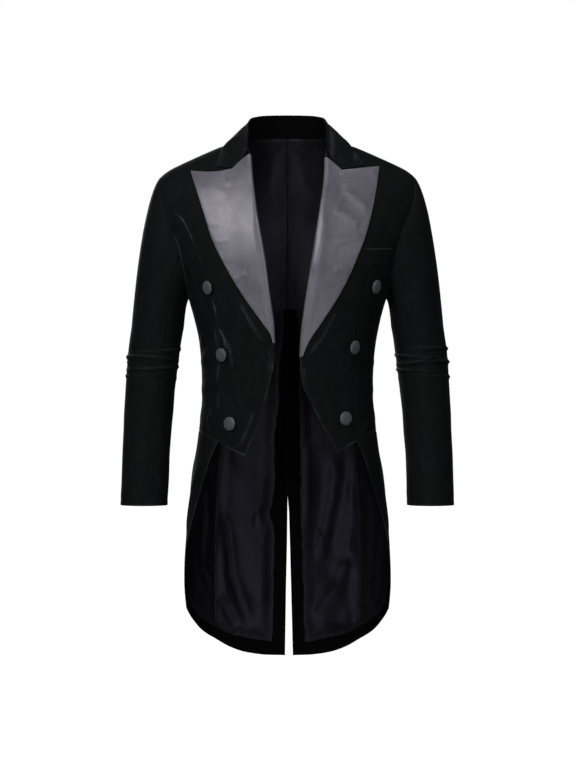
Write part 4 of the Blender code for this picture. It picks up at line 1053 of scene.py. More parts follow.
def new_material(name):
    """New material with its node tree and its shader."""
    material = bpy.data.materials.new(name)
    material.use_nodes = True
    return material, material.node_tree, material.node_tree.nodes["Principled BSDF"]


def add_node(tree, kind, **values):
    """New node with its sockets and settings set by name."""
    node = tree.nodes.new(kind)
    for key, value in values.items():
        if key in node.inputs:
            node.inputs[key].default_value = value
        else:
            setattr(node, key, value)
    return node


def fed(tree, node, sockets):
    """The node with its sockets tied to other nodes or set to plain values."""
    for key, value in sockets:
        if hasattr(value, "node"):
            tree.links.new(value, node.inputs[key])
        else:
            node.inputs[key].default_value = value
    return node


def noise(tree, size_mm, detail=2.0, roughness=0.5, turn=0.0, squeeze=1.0):
    """Noise whose grains are about the given size, turned in degrees and drawn out along the height."""
    place = add_node(tree, "ShaderNodeTexCoord").outputs["Object"]
    turned = fed(tree, add_node(tree, "ShaderNodeMapping"), [
        ("Vector", place), ("Rotation", (0.0, math.radians(turn), 0.0)), ("Scale", (1.0, 1.0, squeeze))])
    node = add_node(tree, "ShaderNodeTexNoise", Scale=1000.0 / size_mm, Detail=detail, Roughness=roughness)
    return fed(tree, node, [("Vector", turned.outputs["Vector"])]).outputs["Fac"]


def between(tree, value, from_low, from_high, low=0.0, high=1.0):
    """Value spread from one range to another, and held at its ends."""
    return fed(tree, add_node(tree, "ShaderNodeMapRange"), [
        ("Value", value), ("From Min", from_low), ("From Max", from_high), ("To Min", low), ("To Max", high),
    ]).outputs["Result"]


def mix_colors(tree, share, first, second):
    """Mix of two colours; sockets 6 and 7 and output 2 are the node's colour ones."""
    colors = [color if hasattr(color, "node") else (*color, 1.0) for color in (first, second)]
    node = add_node(tree, "ShaderNodeMix", data_type="RGBA")
    return fed(tree, node, [("Factor", share), (6, colors[0]), (7, colors[1])]).outputs[2]


def combine(tree, kind, first, second):
    """Sum or product of two values."""
    return fed(tree, add_node(tree, "ShaderNodeMath", operation=kind), [(0, first), (1, second)]).outputs[0]


def rubbed_and_sheen_share(tree):
    """How much the cloth's colour is lightened, as rubbed nap and painted sheen, as stored on its mesh."""
    return add_node(tree, "ShaderNodeAttribute", attribute_name="rub_and_sheen").outputs["Fac"]


def set_sockets(shader, **values):
    """Sets sockets whose names are written with _ for each space."""
    for key, value in values.items():
        shader.inputs[key.replace("_", " ")].default_value = value


def cloth_look(tree, shader, color, relief, depth_mm, strength, **values):
    """Gives the shader its colour, the fine relief of its grain and its other sockets by name."""
    bump = add_node(tree, "ShaderNodeBump", Strength=strength, Distance=depth_mm * MM)
    fed(tree, bump, [("Height", relief)])
    fed(tree, shader, [("Base Color", color), ("Normal", bump.outputs["Normal"])])
    set_sockets(shader, **values)


def velvet_material():
    """Cotton velvet: a deep black pile, a little lighter where its nap lies over, and lighter along edges,
    seams and streaks as rubbed nap and painted sheen.
    """
    material, tree, shader = new_material("black_velvet")
    nap = between(tree, noise(tree, 17.0, 4.0, 0.62, squeeze=0.55), 0.45, 0.72, 0.0, 0.75)
    tone = between(tree, noise(tree, 95.0), 0.36, 0.64)
    color = mix_colors(tree, tone, (0.0031, 0.0052, 0.0042), (0.0045, 0.0046, 0.0056))
    color = mix_colors(tree, nap, color, (0.0064, 0.0075, 0.0078))
    small = between(tree, noise(tree, 6.0, 3.0), 0.3, 0.7, 0.45, 1.0)
    large = between(tree, noise(tree, 34.0, 1.0), 0.38, 0.6, 0.15, 1.0)
    # Painted sheen and rubbed nap: the colour turns to a dark grey where the stored share is high, broken up
    # by two noises
    rubbed_and_sheen = combine(tree, "MULTIPLY", combine(tree, "MULTIPLY", rubbed_and_sheen_share(tree), small), large)
    color = mix_colors(tree, rubbed_and_sheen, color, (0.078, 0.082, 0.090))
    cloth_look(tree, shader, color, noise(tree, 1.1, 3.0), 0.25, 0.55, Roughness=0.8, Specular_IOR_Level=0.05,
               Sheen_Weight=0.02, Sheen_Roughness=0.3, Sheen_Tint=(0.82, 0.86, 0.95, 1.0))
    return material


def facing_and_shade_material():
    """Near-black cloth on the inside of the shell: facings, seam allowances and the inside of the collar; far
    darker than the velvet, it is partly a plain black facing and partly painted shade inside the coat and
    under the collar.
    """
    material, tree, shader = new_material("black_facing_and_shade")
    grain = noise(tree, 1.0, 3.0)
    color = mix_colors(tree, grain, (0.0004, 0.0004, 0.0005), (0.0010, 0.0010, 0.0012))
    cloth_look(tree, shader, color, grain, 0.2, 0.5, Roughness=0.85, Specular_IOR_Level=0.04)
    return material


def satin_material():
    """Grey satin with a fine diagonal grain and a slightly mottled gloss."""
    material, tree, shader = new_material("grey_satin")
    thread = noise(tree, 0.75, 2.0, 0.6, 38.0, 0.22)
    mottle = noise(tree, 2.9, 3.0, 0.65, 38.0, 0.4)
    cloud = between(tree, noise(tree, 42.0), 0.35, 0.7, 0.0, 0.5)
    tone = between(tree, mottle, 0.34, 0.66)
    color = mix_colors(tree, tone, (0.047, 0.0444, 0.0555), (0.090, 0.0855, 0.1065))
    color = mix_colors(tree, cloud, color, (0.098, 0.0933, 0.115))
    # Painted sheen and rubbed edge: the satin's colour is lightened along the lapel's outer and top edges
    color = mix_colors(tree, combine(tree, "MULTIPLY", rubbed_and_sheen_share(tree), 0.6), color, (0.21, 0.203, 0.235))
    cloth_look(tree, shader, color, thread, 0.12, 0.5, Specular_IOR_Level=0.88, Anisotropic=0.3,
               Sheen_Weight=0.05, Sheen_Roughness=0.4, Specular_Tint=(0.95, 0.92, 1.0, 1.0))
    fed(tree, shader, [("Roughness", between(tree, mottle, 0.3, 0.7, 0.37, 0.50))])
    return material


def lining_material(name, low, high):
    """Thin satin lining, black with a cool plum cast, between two tones."""
    material, tree, shader = new_material(name)
    weave = combine(tree, "MULTIPLY", noise(tree, 0.8, squeeze=0.25), 0.06)
    slack = noise(tree, 16.0, 3.0, 0.55, squeeze=0.3)
    color = mix_colors(tree, between(tree, slack, 0.35, 0.65), low, high)
    cloth_look(tree, shader, color, combine(tree, "ADD", weave, slack), 1.2, 0.3, Roughness=0.42,
               Specular_IOR_Level=0.16, Anisotropic=0.2, Specular_Tint=(0.78, 0.74, 1.0, 1.0))
    return material


def button_material():
    """Button covered with a matt grey cloth."""
    material, tree, shader = new_material("button_cloth")
    weave = noise(tree, 0.9, turn=45.0, squeeze=0.35)
    color = mix_colors(tree, between(tree, weave, 0.35, 0.65), (0.040, 0.041, 0.043), (0.066, 0.067, 0.070))
    cloth_look(tree, shader, color, combine(tree, "ADD", weave, noise(tree, 3.0)), 0.18, 0.7, Roughness=0.52,
               Specular_IOR_Level=0.4, Sheen_Weight=0.1)
    return material


def thread_material(name, low, high):
    """Twisted sewing thread between two tones."""
    material, tree, shader = new_material(name)
    twist = noise(tree, 0.5)
    cloth_look(tree, shader, mix_colors(tree, twist, low, high), twist, 0.1, 0.6, Roughness=0.6)
    return material


CLOTHS = {
    "velvet": velvet_material(),
    "facing": facing_and_shade_material(),
    "satin": satin_material(),
    "lining": lining_material("black_lining", (0.0020, 0.0019, 0.0030), (0.0042, 0.0040, 0.0060)),
    "skirt_lining": lining_material("skirt_lining", (0.0022, 0.0022, 0.0027), (0.0042, 0.0041, 0.0051)),
    # Lit copy of the lining, about three times lighter: painted light on the upper back lining
    "upper_lining": lining_material("upper_lining", (0.0068, 0.0064, 0.0086), (0.0116, 0.0110, 0.0144)),
    "button": button_material(),
    "pale_thread": thread_material("pale_thread", (0.35, 0.35, 0.37), (0.55, 0.55, 0.57)),
    "dark_thread": thread_material("dark_thread", (0.012, 0.012, 0.016), (0.034, 0.034, 0.040)),
}


def build_front(side, seams):
    """Forepart from the shoulder seam to the pointed waist."""
    hem = as_path(trace(HEM[side], finer(7)), -1)
    inner = as_path(chain(trace(ROLL[side], finer(12)), trace(EDGE[side], finer(8))), -1)
    outer = as_path(chain(seams["armhole_front"], seams["princess"]), -1)
    lapel = np.array(LAPEL_EDGE[side][::-1], dtype=float)

    def rise(place, gaps):
        x, z = place[..., 0], place[..., 2]
        covered = np.interp(z, lapel[:, 1], lapel[:, 0]) + LAPEL_COVER
        free = np.clip((x - covered) / LAPEL_COVER_REACH, 0, 1)
        total = (creases(x, z, FRONT_FOLDS[side]) + waves(x, z, FRONT_WAVES, side)) * free
        total *= off_edges(gaps, *FRONT_SEWN)
        return total + puckers(gaps, FRONT_PUCKERS, side) * free - seam_dip(gaps["right"])

    def streaks(place, gaps):
        # Painted sheen along the seams and folds of the forepart
        return creases(place[..., 0], place[..., 2], FRONT_STREAKS[side])

    cells = fill(seams["shoulder"], hem, inner, outer)
    shell_sheet("front_{}", side, body_by_path, cells, rise, FRONT_RUB_AND_SHEEN, streaks)


def build_side(side, seams):
    """Side body from the armhole to the waist seam."""

    def rise(place, gaps):
        around, z = gaps["left"], place[..., 2]
        total = creases(around, z, SIDE_FOLDS) + waves(around, z, SIDE_WAVES, side)
        total = total * off_edges(gaps, *SIDE_SEWN) + puckers(gaps, SIDE_PUCKERS, side)
        return total - seam_dip(nearest(gaps, "left", "right", "bottom"))

    def streaks(place, gaps):
        # Painted sheen along the armhole seam, and painted sheen streaks below it
        y, z = place[..., 1], place[..., 2]
        armhole = ARMHOLE_SHEEN[side] * bell(gaps["top"] - ARMHOLE_SHEEN_PLACE, ARMHOLE_SHEEN_BREADTH)
        armhole *= (y < ARMHOLE_SHEEN_BEHIND) * np.clip((ARMHOLE_SHEEN_TOP - z) / ARMHOLE_SHEEN_FADE, 0, 1)
        return np.maximum(armhole, creases(gaps["left"], z, SIDE_STREAKS[side]))

    cells = fill(seams["armhole_low"], seams["waist"], seams["princess_angles"], seams["back_angles"])
    shell_sheet("side_{}", side, body_by_angle, cells, rise, SIDE_RUB_AND_SHEEN, streaks)


def build_skirt(side, seams):
    """Skirt and its lining, which stops short of the cut edge and the hem."""
    corner = as_angle(HEM_CORNER, 1)
    cut_edge = trace([seams["waist"][0]] + SKIRT_EDGE, finer(12))
    seam = chain(seams["skirt_angles"], trace([seams["skirt_angles"][-1], corner[-1]], finer(2)))
    hem = trace(np.concatenate([cut_edge[-1:], corner[1:]]), len(seams["waist"]))

    def rise(place, gaps):
        total = creases(gaps["left"], place[..., 2], SKIRT_FOLDS)
        total = (total + waves(gaps["left"], place[..., 2], SKIRT_WAVES, side)) * off_edges(gaps, *SKIRT_SEWN)
        return total + puckers(gaps, SKIRT_PUCKERS, side) - seam_dip(nearest(gaps, "right", "top"))

    cells = fill(seams["waist"], hem, cut_edge, seam)
    shell_sheet("skirt_{}", side, body_by_angle, cells, rise, SKIRT_RUB_AND_SHEEN)

    edge = trace(SKIRT_LINING_EDGE, finer(11))
    hem = trace(np.concatenate([edge[-1:], as_angle(SKIRT_LINING_HEM, 1)]), finer(11))
    top = trace(WAIST_SEAM + [seams["back_angles"][-1]], finer(11))

    def hang(place, gaps):
        around, z = gaps["right"], place[..., 2]
        total = creases(around, z, SKIRT_LINING_FOLDS[side]) + SKIRT_LOOSE
        total = np.clip(total + waves(around, z, SKIRT_LINING_WAVES, side), 0, SKIRT_LINING_MOST)
        total *= softly_off_edges(gaps, *SKIRT_LINING_SEWN)
        return total + puckers(gaps, SKIRT_LINING_PUCKERS, side, np.abs)

    cells = fill(top, hem, edge, seams["skirt_angles"])
    lining_sheet("skirt_lining_{}", side, body_by_angle, cells, "skirt_lining", hang)


def build_back(side, seams):
    """Back and tail cut in one."""
    vent = VENT[side]
    end = trace([SKIRT_SEAM[-1], HEM_TAIL[0]], finer(2))
    outer = chain(seams["armhole_back"], seams["back"], seams["skirt"], end)
    middle_z = np.linspace(vent[0][1], vent[-1][1], len(outer))
    middle_x = np.interp(middle_z, column(vent, 1)[::-1], column(vent, 0)[::-1])
    middle = np.stack([middle_x, middle_z], axis=1)
    hem = trace([vent[-1]] + HEM_TAIL[-2::-1], len(seams["back_top"]))

    def rise(place, gaps):
        x, z = place[..., 0], place[..., 2]
        total = (creases(x, z, BACK_FOLDS) + waves(x, z, BACK_WAVES)) * off_edges(gaps, *BACK_SEWN)
        joined = z > VENT_TOP
        total += puckers(gaps, BACK_PUCKERS, side) + puckers(gaps, BACK_MIDDLE_PUCKERS) * joined
        return total - seam_dip(np.minimum(gaps["right"], np.where(joined, gaps["left"], 99)))

    cells = fill(seams["back_top"], *[as_path(line, 1) for line in (hem, middle, outer)], ease=BACK_EASE)
    shell_sheet("back_{}", side, body_by_path, cells, rise, BACK_RUB_AND_SHEEN)


def build_upper_lining(side, seams):
    """Lining of the upper back, whose foot hangs free over the tail lining."""
    outer = chain(seams["armhole_back"], seams["back"][:6 * FINE + 1])
    share = np.linspace(0, 1, len(seams["back_top"]))
    foot = np.stack([share * outer[-1, 0], FOOT_HEIGHT + share * (outer[-1, 1] - FOOT_HEIGHT)], axis=1)
    wave = uneven(foot[:, 0], FOOT_WAVE_SIZE, FOOT_SEED + side)
    foot[:, 1] += FOOT_WAVE * wave * np.sin(np.pi * share) ** 0.5
    spine = trace([(0, 18), (0, FOOT_HEIGHT)], len(outer))

    def hang(place, gaps):
        x, z = place[..., 0], place[..., 2]
        free = off_edges(gaps, *UPPER_LINING_SEWN) * off_edges(gaps, *UPPER_LINING_TOP)
        folds = np.clip(creases(x, z, UPPER_LINING_FOLDS[side]), UPPER_LINING_LEAST, UPPER_LINING_MOST)
        total = FOOT_HANG * np.clip(1 - gaps["bottom"] / FOOT_LENGTH, 0, 1)
        total = total + (folds + waves(x, z, UPPER_LINING_WAVES, side, 1)) * free
        total += puckers(gaps, UPPER_LINING_PUCKERS, side, np.abs)
        return total + puckers(gaps, UPPER_MIDDLE_PUCKERS, 0, np.abs)

    cells = fill(seams["back_top"], *[as_path(line, 1) for line in (foot, spine, outer)], ease=LINING_EASE)
    # The upper back lining takes the lighter copy of the lining, as painted light
    lining_sheet("back_lining_{}", side, body_by_path, cells, "upper_lining", hang)


def build_tail_lining(side, seams):
    """Lining of the tail beside the velvet facing, with loose folds."""
    outer = chain(seams["back"][5 * FINE:], seams["skirt"])
    facing = FACING[side]
    start = np.interp(TAIL_TOP, column(facing, 1)[::-1], column(facing, 0)[::-1])
    inner = trace([(start, TAIL_TOP)] + [row for row in facing if row[1] < TAIL_TOP - 5], len(outer))
    inner[:, 0] += FACING_WAVE * uneven(inner[:, 1], FACING_WAVE_SIZE, FACING_SEED + side)
    if side < 0:
        inner[:, 0] += PULL * bell(inner[:, 1] - PULL_HEIGHT, PULL_BREADTH)
    count = len(seams["back_top"])
    top = np.linspace(inner[0], outer[0], count)
    hem = trace([inner[-1]] + LINING_HEM, count)

    def hang(place, gaps):
        x, z = place[..., 0], place[..., 2]
        total = creases(x, z, TAIL_FOLDS[side]) + LOOSE + waves(x, z, TAIL_LINING_WAVES, side)
        total = np.clip(total, 0, TAIL_LINING_MOST) * softly_off_edges(gaps, *TAIL_LINING_SEWN)
        total *= np.clip((TAIL_TOP - TAIL_CLEAR[0] - z) / TAIL_CLEAR[1], 0, 1)
        total += puckers(gaps, TAIL_LINING_PUCKERS, side, np.abs)
        return total * np.clip((TAIL_TOP - TAIL_CLEAR_ALL[0] - z) / TAIL_CLEAR_ALL[1], 0, 1)

    cells = fill(*[as_path(line, 1) for line in (top, hem, inner, outer)])
    lining_sheet("tail_lining_{}", side, body_by_path, cells, "lining", hang)


def lapel_lift(side, share, z, gaps):
    """Gap between the lapel and the forepart: its roll, its fuller turn lower down and the pocket welt."""
    belly = LAPEL_BELLY * soft_step((LAPEL_BELLY_TOP - z) / (LAPEL_BELLY_TOP - LAPEL_BELLY_LOW))
    belly *= soft_step(gaps["right"] / LAPEL_BELLY_CLEAR)
    reach = LAPEL_TURN_REACH + LAPEL_BELLY_REACH * belly / LAPEL_BELLY
    lift = OVERLAY_CLEARANCE + (LAPEL_ROLL + belly) * bell(share, LAPEL_ROLL_REACH)
    lift = lift - (LAPEL_TURN + belly) * bell(gaps["left"], reach)
    if side > 0:
        lift = lift + WELT_BUMP * np.exp(-(((z - WELT_MIDDLE) / WELT_SPREAD) ** 4))
    return lift


def build_lapel(side):
    """Lapel lying on the forepart; its inner edge rolls over the front."""
    outside, gorge = LAPEL_EDGE[side], GORGE[side]
    roll = [gorge[0]] + [place for place in ROLL[side] if place[1] < gorge[0][1] - 2]
    top = chain(trace(gorge, finer(4)), trace(PEAK[side], finer(6)))
    foot = trace([roll[-1], outside[-1]], len(top))
    lines = (top, foot, trace(roll, finer(15)), trace(outside, finer(15)))
    cells = edge_rows(fill(*[as_path(line, -1) for line in lines]))
    place = body_by_path(cells[..., 0], cells[..., 1])
    normal = normals_of(body_by_path, cells[..., 0], cells[..., 1])
    gaps = gaps_from_edges(place)
    x, z = place[..., 0], place[..., 2]
    lift = lapel_lift(side, np.linspace(0, 1, cells.shape[1])[None, :], z, gaps)
    relief = soft_floor(creases(x, z, LAPEL_FOLDS[side]) + waves(x, z, LAPEL_WAVES, side, 1))
    relief = relief * off_edges(gaps, *LAPEL_SEWN) + puckers(gaps, LAPEL_PUCKERS, side, np.abs)
    lift = (lift + relief)[..., None]
    past = np.cross(normal[:, 0], np.gradient(place[:, 0], axis=0))
    past = -np.sign(past[:, :1]) * unit(past)
    face = [place[:, 0] + past * row[0] + normal[:, 0] * row[1] for row in LAPEL_WRAP]
    back = [place[:, 0] + past * row[2] + normal[:, 0] * row[3] for row in LAPEL_WRAP]
    face = np.concatenate([np.stack(face, axis=1), (place + normal * (lift + SATIN_WALL))[:, 1:]], axis=1)
    back = np.concatenate([np.stack(back, axis=1), (place + normal * lift)[:, 1:]], axis=1)
    rub_and_sheen_values = edge_rub_and_sheen(gaps, LAPEL_RUB_AND_SHEEN)
    rub_and_sheen_values = np.concatenate([np.repeat(rub_and_sheen_values[:, :1], len(LAPEL_WRAP) - 1, axis=1), rub_and_sheen_values], axis=1)
    cloth_object("lapel_" + SIDES[side], side, face, back, "satin", rub_and_sheen_values, 0.0)


def sleeve_start(seams):
    """Edge of the sleeve along the armhole, and the angle round the sleeve of each of its places."""
    loop, normal = armhole_loop(seams)
    start = loop + unit(np.cross(normal, np.roll(loop, -1, axis=0) - np.roll(loop, 1, axis=0))) * SLEEVE_OFF
    low = loop[:, 2].min() + ARMPIT_REACH
    start[:, 0] += ARMPIT_OFF * np.clip((low - start[:, 2]) / ARMPIT_REACH, 0, 1)
    pace = np.linalg.norm(np.roll(loop, -1, axis=0) - loop, axis=1)
    armpit = finer(5) + finer(7) - 2
    front = np.concatenate([[0], np.cumsum(pace[:armpit])])
    back = np.cumsum(pace[armpit:])
    return start, np.pi * np.concatenate([front / front[-1], 1 + back[:-1] / back[-1]])


def sleeve_tube(start, turn, gathers, lean):
    """Smooth rings of the sleeve from the armhole to the cuff."""
    table = np.array(SLEEVE, dtype=float)[::-1]
    levels = [gathers[-1][0] - ELBOW_FADE] + [row[0] for row in gathers[::-1]] + [gathers[0][0] + ELBOW_FADE]
    tilts = [0.0] + [row[4] for row in gathers[::-1]] + [0.0]
    heights = np.concatenate([
        np.arange(SLEEVE[0][0], ELBOW_TOP, -SLEEVE_STEP), np.arange(ELBOW_TOP, ELBOW_LOW, -ELBOW_STEP),
        np.linspace(ELBOW_LOW, CUFF_STITCH + 3, LOW_RINGS),
        [CUFF_STITCH + 1.5, CUFF_STITCH, CUFF_STITCH - 1.5], np.linspace(CUFF_STITCH - 4, SLEEVE[-1][0], 4)])
    rings = []
    for z in heights:
        middle_x, middle_y, wide, deep = [smooth_value(table[:, 0], table[:, k], z) for k in (1, 2, 3, 4)]
        tilt = np.interp(z, levels, tilts)
        rings.append(np.stack([middle_x + wide * np.cos(turn), middle_y - deep * np.sin(turn),
                               z + tilt * lean], axis=1))
    rings = np.array(rings)
    reach = np.linalg.norm(rings[0] - start, axis=1)[:, None]
    level = np.ones_like(turn)
    leave = np.stack([CAP_OUT * level, -CAP_FORWARD * np.sin(turn), -CAP_FALL * level], axis=1)
    arrive = np.stack([CAP_FLARE * level, 0 * level, -level], axis=1)
    steps = np.concatenate([CAP_FIRST[:-1], np.linspace(CAP_FIRST[-1], 1, CAP_ROWS, endpoint=False)])
    cap = [bend_between(t, start, rings[0], reach, leave, arrive) for t in steps]
    return np.concatenate([np.array(cap), rings])


def build_sleeve(side, seams):
    """Rings from the armhole to the cuff, cut lengthways into the upper and the under sleeve."""
    start, turn = sleeve_start(seams)
    gathers = ELBOW[side]
    lean = np.cos(turn - np.radians(ELBOW_LEAN))
    tube = sleeve_tube(start, turn, gathers, lean)
    count, degrees, z = len(turn), np.degrees(turn), tube[..., 2]
    full = 360 * SLEEVE_TURN_MM
    around = degrees[None, :] * SLEEVE_TURN_MM + 0 * z
    down = run_down(tube)
    steps = np.arange(count)[None, :] - np.array([[UNDER_START], [UNDER_END]]) * FINE
    seam_gap = np.abs((steps + count / 2) % count - count / 2).min(axis=0)[None, :] * full / count

    swell = np.zeros(z.shape)
    for height, strength, spread, middle, tilt in gathers:
        share = 0.5 + 0.5 * np.cos(turn - np.radians(middle))
        share *= 1 - GATHER_FLAT * bell(degrees - 90, GATHER_FLAT_SPAN)
        share *= 1 + GATHER_UNEVEN[0] * uneven(degrees, GATHER_UNEVEN[1], GATHER_UNEVEN[2] + side)
        swell += strength * share * bell(z - height - tilt * lean, spread * GATHER_CRISP)
    for shift in (-full, 0, full):
        swell += creases(around + shift, z, SLEEVE_FOLDS[side])
    calm = np.clip((SLEEVE_CALM_TOP - z) / SLEEVE_CALM_REACH, SLEEVE_CALM, 1)
    calm = calm * np.clip((SLEEVE_START - z) / SLEEVE_START_REACH, 0, 1)
    swell += waves(around, z, SLEEVE_WAVES, side) * calm * np.clip(seam_gap / SLEEVE_HELD, 0, 1)
    height, spacing, seed, reach = ARMHOLE_EASE
    ease = height * uneven(around[:1], spacing, seed + side) * np.exp(-down / reach)
    swell += ease * np.clip(down / 2, 0, 1)
    height, spacing, seed, reach = SEAM_EASE
    swell += height * uneven(z, spacing, seed + side) * np.exp(-seam_gap / reach)
    swell -= CUFF_DIP * bell(z - CUFF_STITCH, CUFF_DIP_REACH) * (z < CUFF_STITCH + 8)
    swell -= SLEEVE_DIP * (bell(down, SEAM_REACH) + bell(seam_gap, SLEEVE_SEAM_REACH))
    tube = tube + ring_normals(tube) * swell[..., None]
    inside = tube - ring_normals(tube) * SHELL_WALL

    # Rubbed nap and painted sheen at the armhole and cuff, and painted sheen just over each gather
    rub_and_sheen_values = SLEEVE_TOP_RUB_AND_SHEEN[0] * bell(down, SLEEVE_TOP_RUB_AND_SHEEN[1])
    rub_and_sheen_values = np.maximum(rub_and_sheen_values, CUFF_RUB_AND_SHEEN[0] * bell(z - tube[-1, 0, 2], CUFF_RUB_AND_SHEEN[1]))
    for height, strength, spread, middle, tilt in gathers:
        share = GATHER_SHEEN[0] * (0.5 + 0.5 * np.cos(turn - np.radians(middle)))
        rub_and_sheen_values = np.maximum(rub_and_sheen_values, share * bell(z - height - tilt * lean - GATHER_SHEEN_RISE, GATHER_SHEEN[1]))
    for piece, first, last in (("upper_sleeve_{}", UNDER_END, UNDER_START + SLEEVE_COLUMNS),
                               ("under_sleeve_{}", UNDER_START, UNDER_END)):
        picked = np.arange(first * FINE, last * FINE + 1) % count
        cloth_object(piece, side, tube[:, picked], inside[:, picked], "velvet", rub_and_sheen_values[:, picked])


def build_welt():
    """Welt of the breast pocket on the wearer's left."""
    lines = [trace(WELT_TOP, finer(8)), trace(WELT_BOTTOM, finer(8)),
             trace([WELT_TOP[0], WELT_BOTTOM[0]], finer(4)), trace([WELT_TOP[-1], WELT_BOTTOM[-1]], finer(4))]

    def rise(place, gaps):
        tuck = WELT_TUCK * np.exp(-gaps["bottom"] / WELT_TUCK_REACH)
        return waves(place[..., 0], place[..., 2], WELT_WAVES) - tuck

    cells = fill(*[as_path(line, -1) for line in lines])
    body_sheet("breast_welt", 1, body_by_path, cells, "velvet", WELT_WALL, OVERLAY_CLEARANCE, rise, WELT_RUB_AND_SHEEN)


def build_button(name, side, x, height, lean):
    """Domed button: cloth drawn over a shell and tucked in under its rim."""
    path = as_path([(x, height)], -1)[0]
    place = body_by_path(path[:1], path[1:])[0]
    normal = normals_of(body_by_path, path[:1], path[1:])[0]
    turn = np.radians(lean)
    axis = np.array([normal[0] * np.cos(turn) - normal[1] * np.sin(turn),
                     normal[0] * np.sin(turn) + normal[1] * np.cos(turn), normal[2]])
    lift = BUTTON_SEAT + BUTTON_PROP * BUTTON_RADIUS * abs(np.sin(turn))
    outline = trace(BUTTON_OUTLINE, BUTTON_RINGS)
    angles = np.linspace(0, 2 * np.pi, BUTTON_SIDES, endpoint=False)
    tucks = uneven(angles / (2 * np.pi) * BUTTON_TUCKS, 1.0, BUTTON_SEED) * (outline[:, 1:] < BUTTON_TUCK_TOP)
    radius = outline[:, :1] * BUTTON_RADIUS * (1 + BUTTON_TUCK * tucks)
    level = outline[:, 1:] * BUTTON_RISE + 0 * radius
    places = np.stack([radius * np.cos(angles), radius * np.sin(angles), level], axis=-1)[1:-1]
    index = np.arange(len(places) * BUTTON_SIDES).reshape(-1, BUTTON_SIDES)
    beside = np.roll(index, -1, axis=1)
    faces = np.stack([index[:-1], index[1:], beside[1:], beside[:-1]], axis=-1).reshape(-1, 4).tolist()
    top, under = index.size, index.size + 1
    faces += [(top, index[0, k], beside[0, k]) for k in range(BUTTON_SIDES)]
    faces += [(under, beside[-1, k], index[-1, k]) for k in range(BUTTON_SIDES)]
    places = np.concatenate([places.reshape(-1, 3), [[0, 0, BUTTON_RISE], [0, 0, 0]]])
    item = placed(name + "_cloth", smooth_mesh(name + "_cloth", places, faces, "button"))
    item.location = mirrored(place + axis * lift, side) * MM
    item.rotation_mode = "QUATERNION"
    item.rotation_quaternion = Vector(mirrored(axis, side)).to_track_quat("Z", "Y")
    declare(item, name)


def build_collar():
    """Stand and fall over one fold, run round the neck from one gorge to the other."""
    halves = []
    for side in (-1, 1):
        rows = [collar_section(row, None) for row in COLLAR[:-1]]
        rows.append(collar_section(COLLAR[-1], COLLAR_END[side]))
        halves.append(mirrored(np.array(rows), side))
    grid = np.concatenate([halves[0][::-1], halves[1][1:]])
    for axis, count in ((0, COLLAR_ROWS), (1, COLLAR_COLUMNS)):
        grid = np.moveaxis(grid, axis, 0)
        slopes = np.gradient(grid, axis=0)
        wanted = np.linspace(0, len(grid) - 1, count)
        cell = np.clip(wanted.astype(int), 0, len(grid) - 2)
        t = (wanted - cell)[:, None, None]
        grid = bend_between(t, grid[cell], grid[cell + 1], 1.0, slopes[cell], slopes[cell + 1])
        grid = np.moveaxis(grid, 0, axis)
    grid = edge_rows(grid)
    gaps = gaps_from_edges(grid)
    grid[..., 2] -= COLLAR_TUCK * bell(gaps["left"], COLLAR_TUCK_REACH)
    x, y, z = np.moveaxis(grid, -1, 0)
    normal = unit(np.cross(np.gradient(grid, axis=0), np.gradient(grid, axis=1)))
    normal *= np.sign(normal[len(grid) // 2, int(len(grid[0]) * 0.45), 2])
    relief = waves(x, z - y, COLLAR_WAVES, above=1) * off_edges(gaps, *COLLAR_SEWN)
    relief = np.where(gaps["right"] < gaps["left"], relief, 0)
    rub_and_sheen_values = edge_rub_and_sheen(gaps, COLLAR_RUB_AND_SHEEN)
    # Painted sheen streaks, soft highlights along the collar's leaf
    for streak_x, y_low, y_high, breadth, strength in COLLAR_STREAKS:
        rub_and_sheen_values = np.maximum(rub_and_sheen_values, strength * bell(x - streak_x, breadth) * (y > y_low) * (y < y_high))
    face, back = grid + normal * relief[..., None], grid - normal * COLLAR_WALL
    cloth_object("collar", 1, face, back, "velvet", rub_and_sheen_values, 0.0, COLLAR_STAND)


def stitch_places(start, end, lift):
    """Thread from one hole to the next: rings round an arched line, closed at both ends."""
    run = end - start
    aside, upward = unit(np.cross(run, lift)), unit(lift)
    turns = np.linspace(0, 2 * np.pi, STITCH_SIDES, endpoint=False)[:, None]
    rings = []
    for share in STITCH_STEPS:
        rise = THREAD_RADIUS * (1.3 * math.sin(math.pi * share) - 0.4)
        size = THREAD_RADIUS * (0.35 + 0.65 * math.sin(math.pi * share) ** 0.5)
        ring = size * (np.cos(turns) * aside + np.sin(turns) * upward)
        rings.append(start + run * share + upward * rise + ring)
    return np.concatenate(rings)


def build_stitches(name, stitches, thread):
    """One mesh of many stitches, each a short closed thread."""
    index = np.arange(len(STITCH_STEPS) * STITCH_SIDES).reshape(-1, STITCH_SIDES)
    beside = np.roll(index, -1, axis=1)
    wall = np.stack([index[:-1], beside[:-1], beside[1:], index[1:]], axis=-1).reshape(-1, 4).tolist()
    one = wall + [index[0, ::-1].tolist(), index[-1].tolist()]
    faces = [[corner + k * index.size for corner in face] for k in range(len(stitches)) for face in one]
    places = np.concatenate([stitch_places(*stitch) for stitch in stitches])
    item = placed(name, smooth_mesh(name, places, faces, thread))
    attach(item, "root")


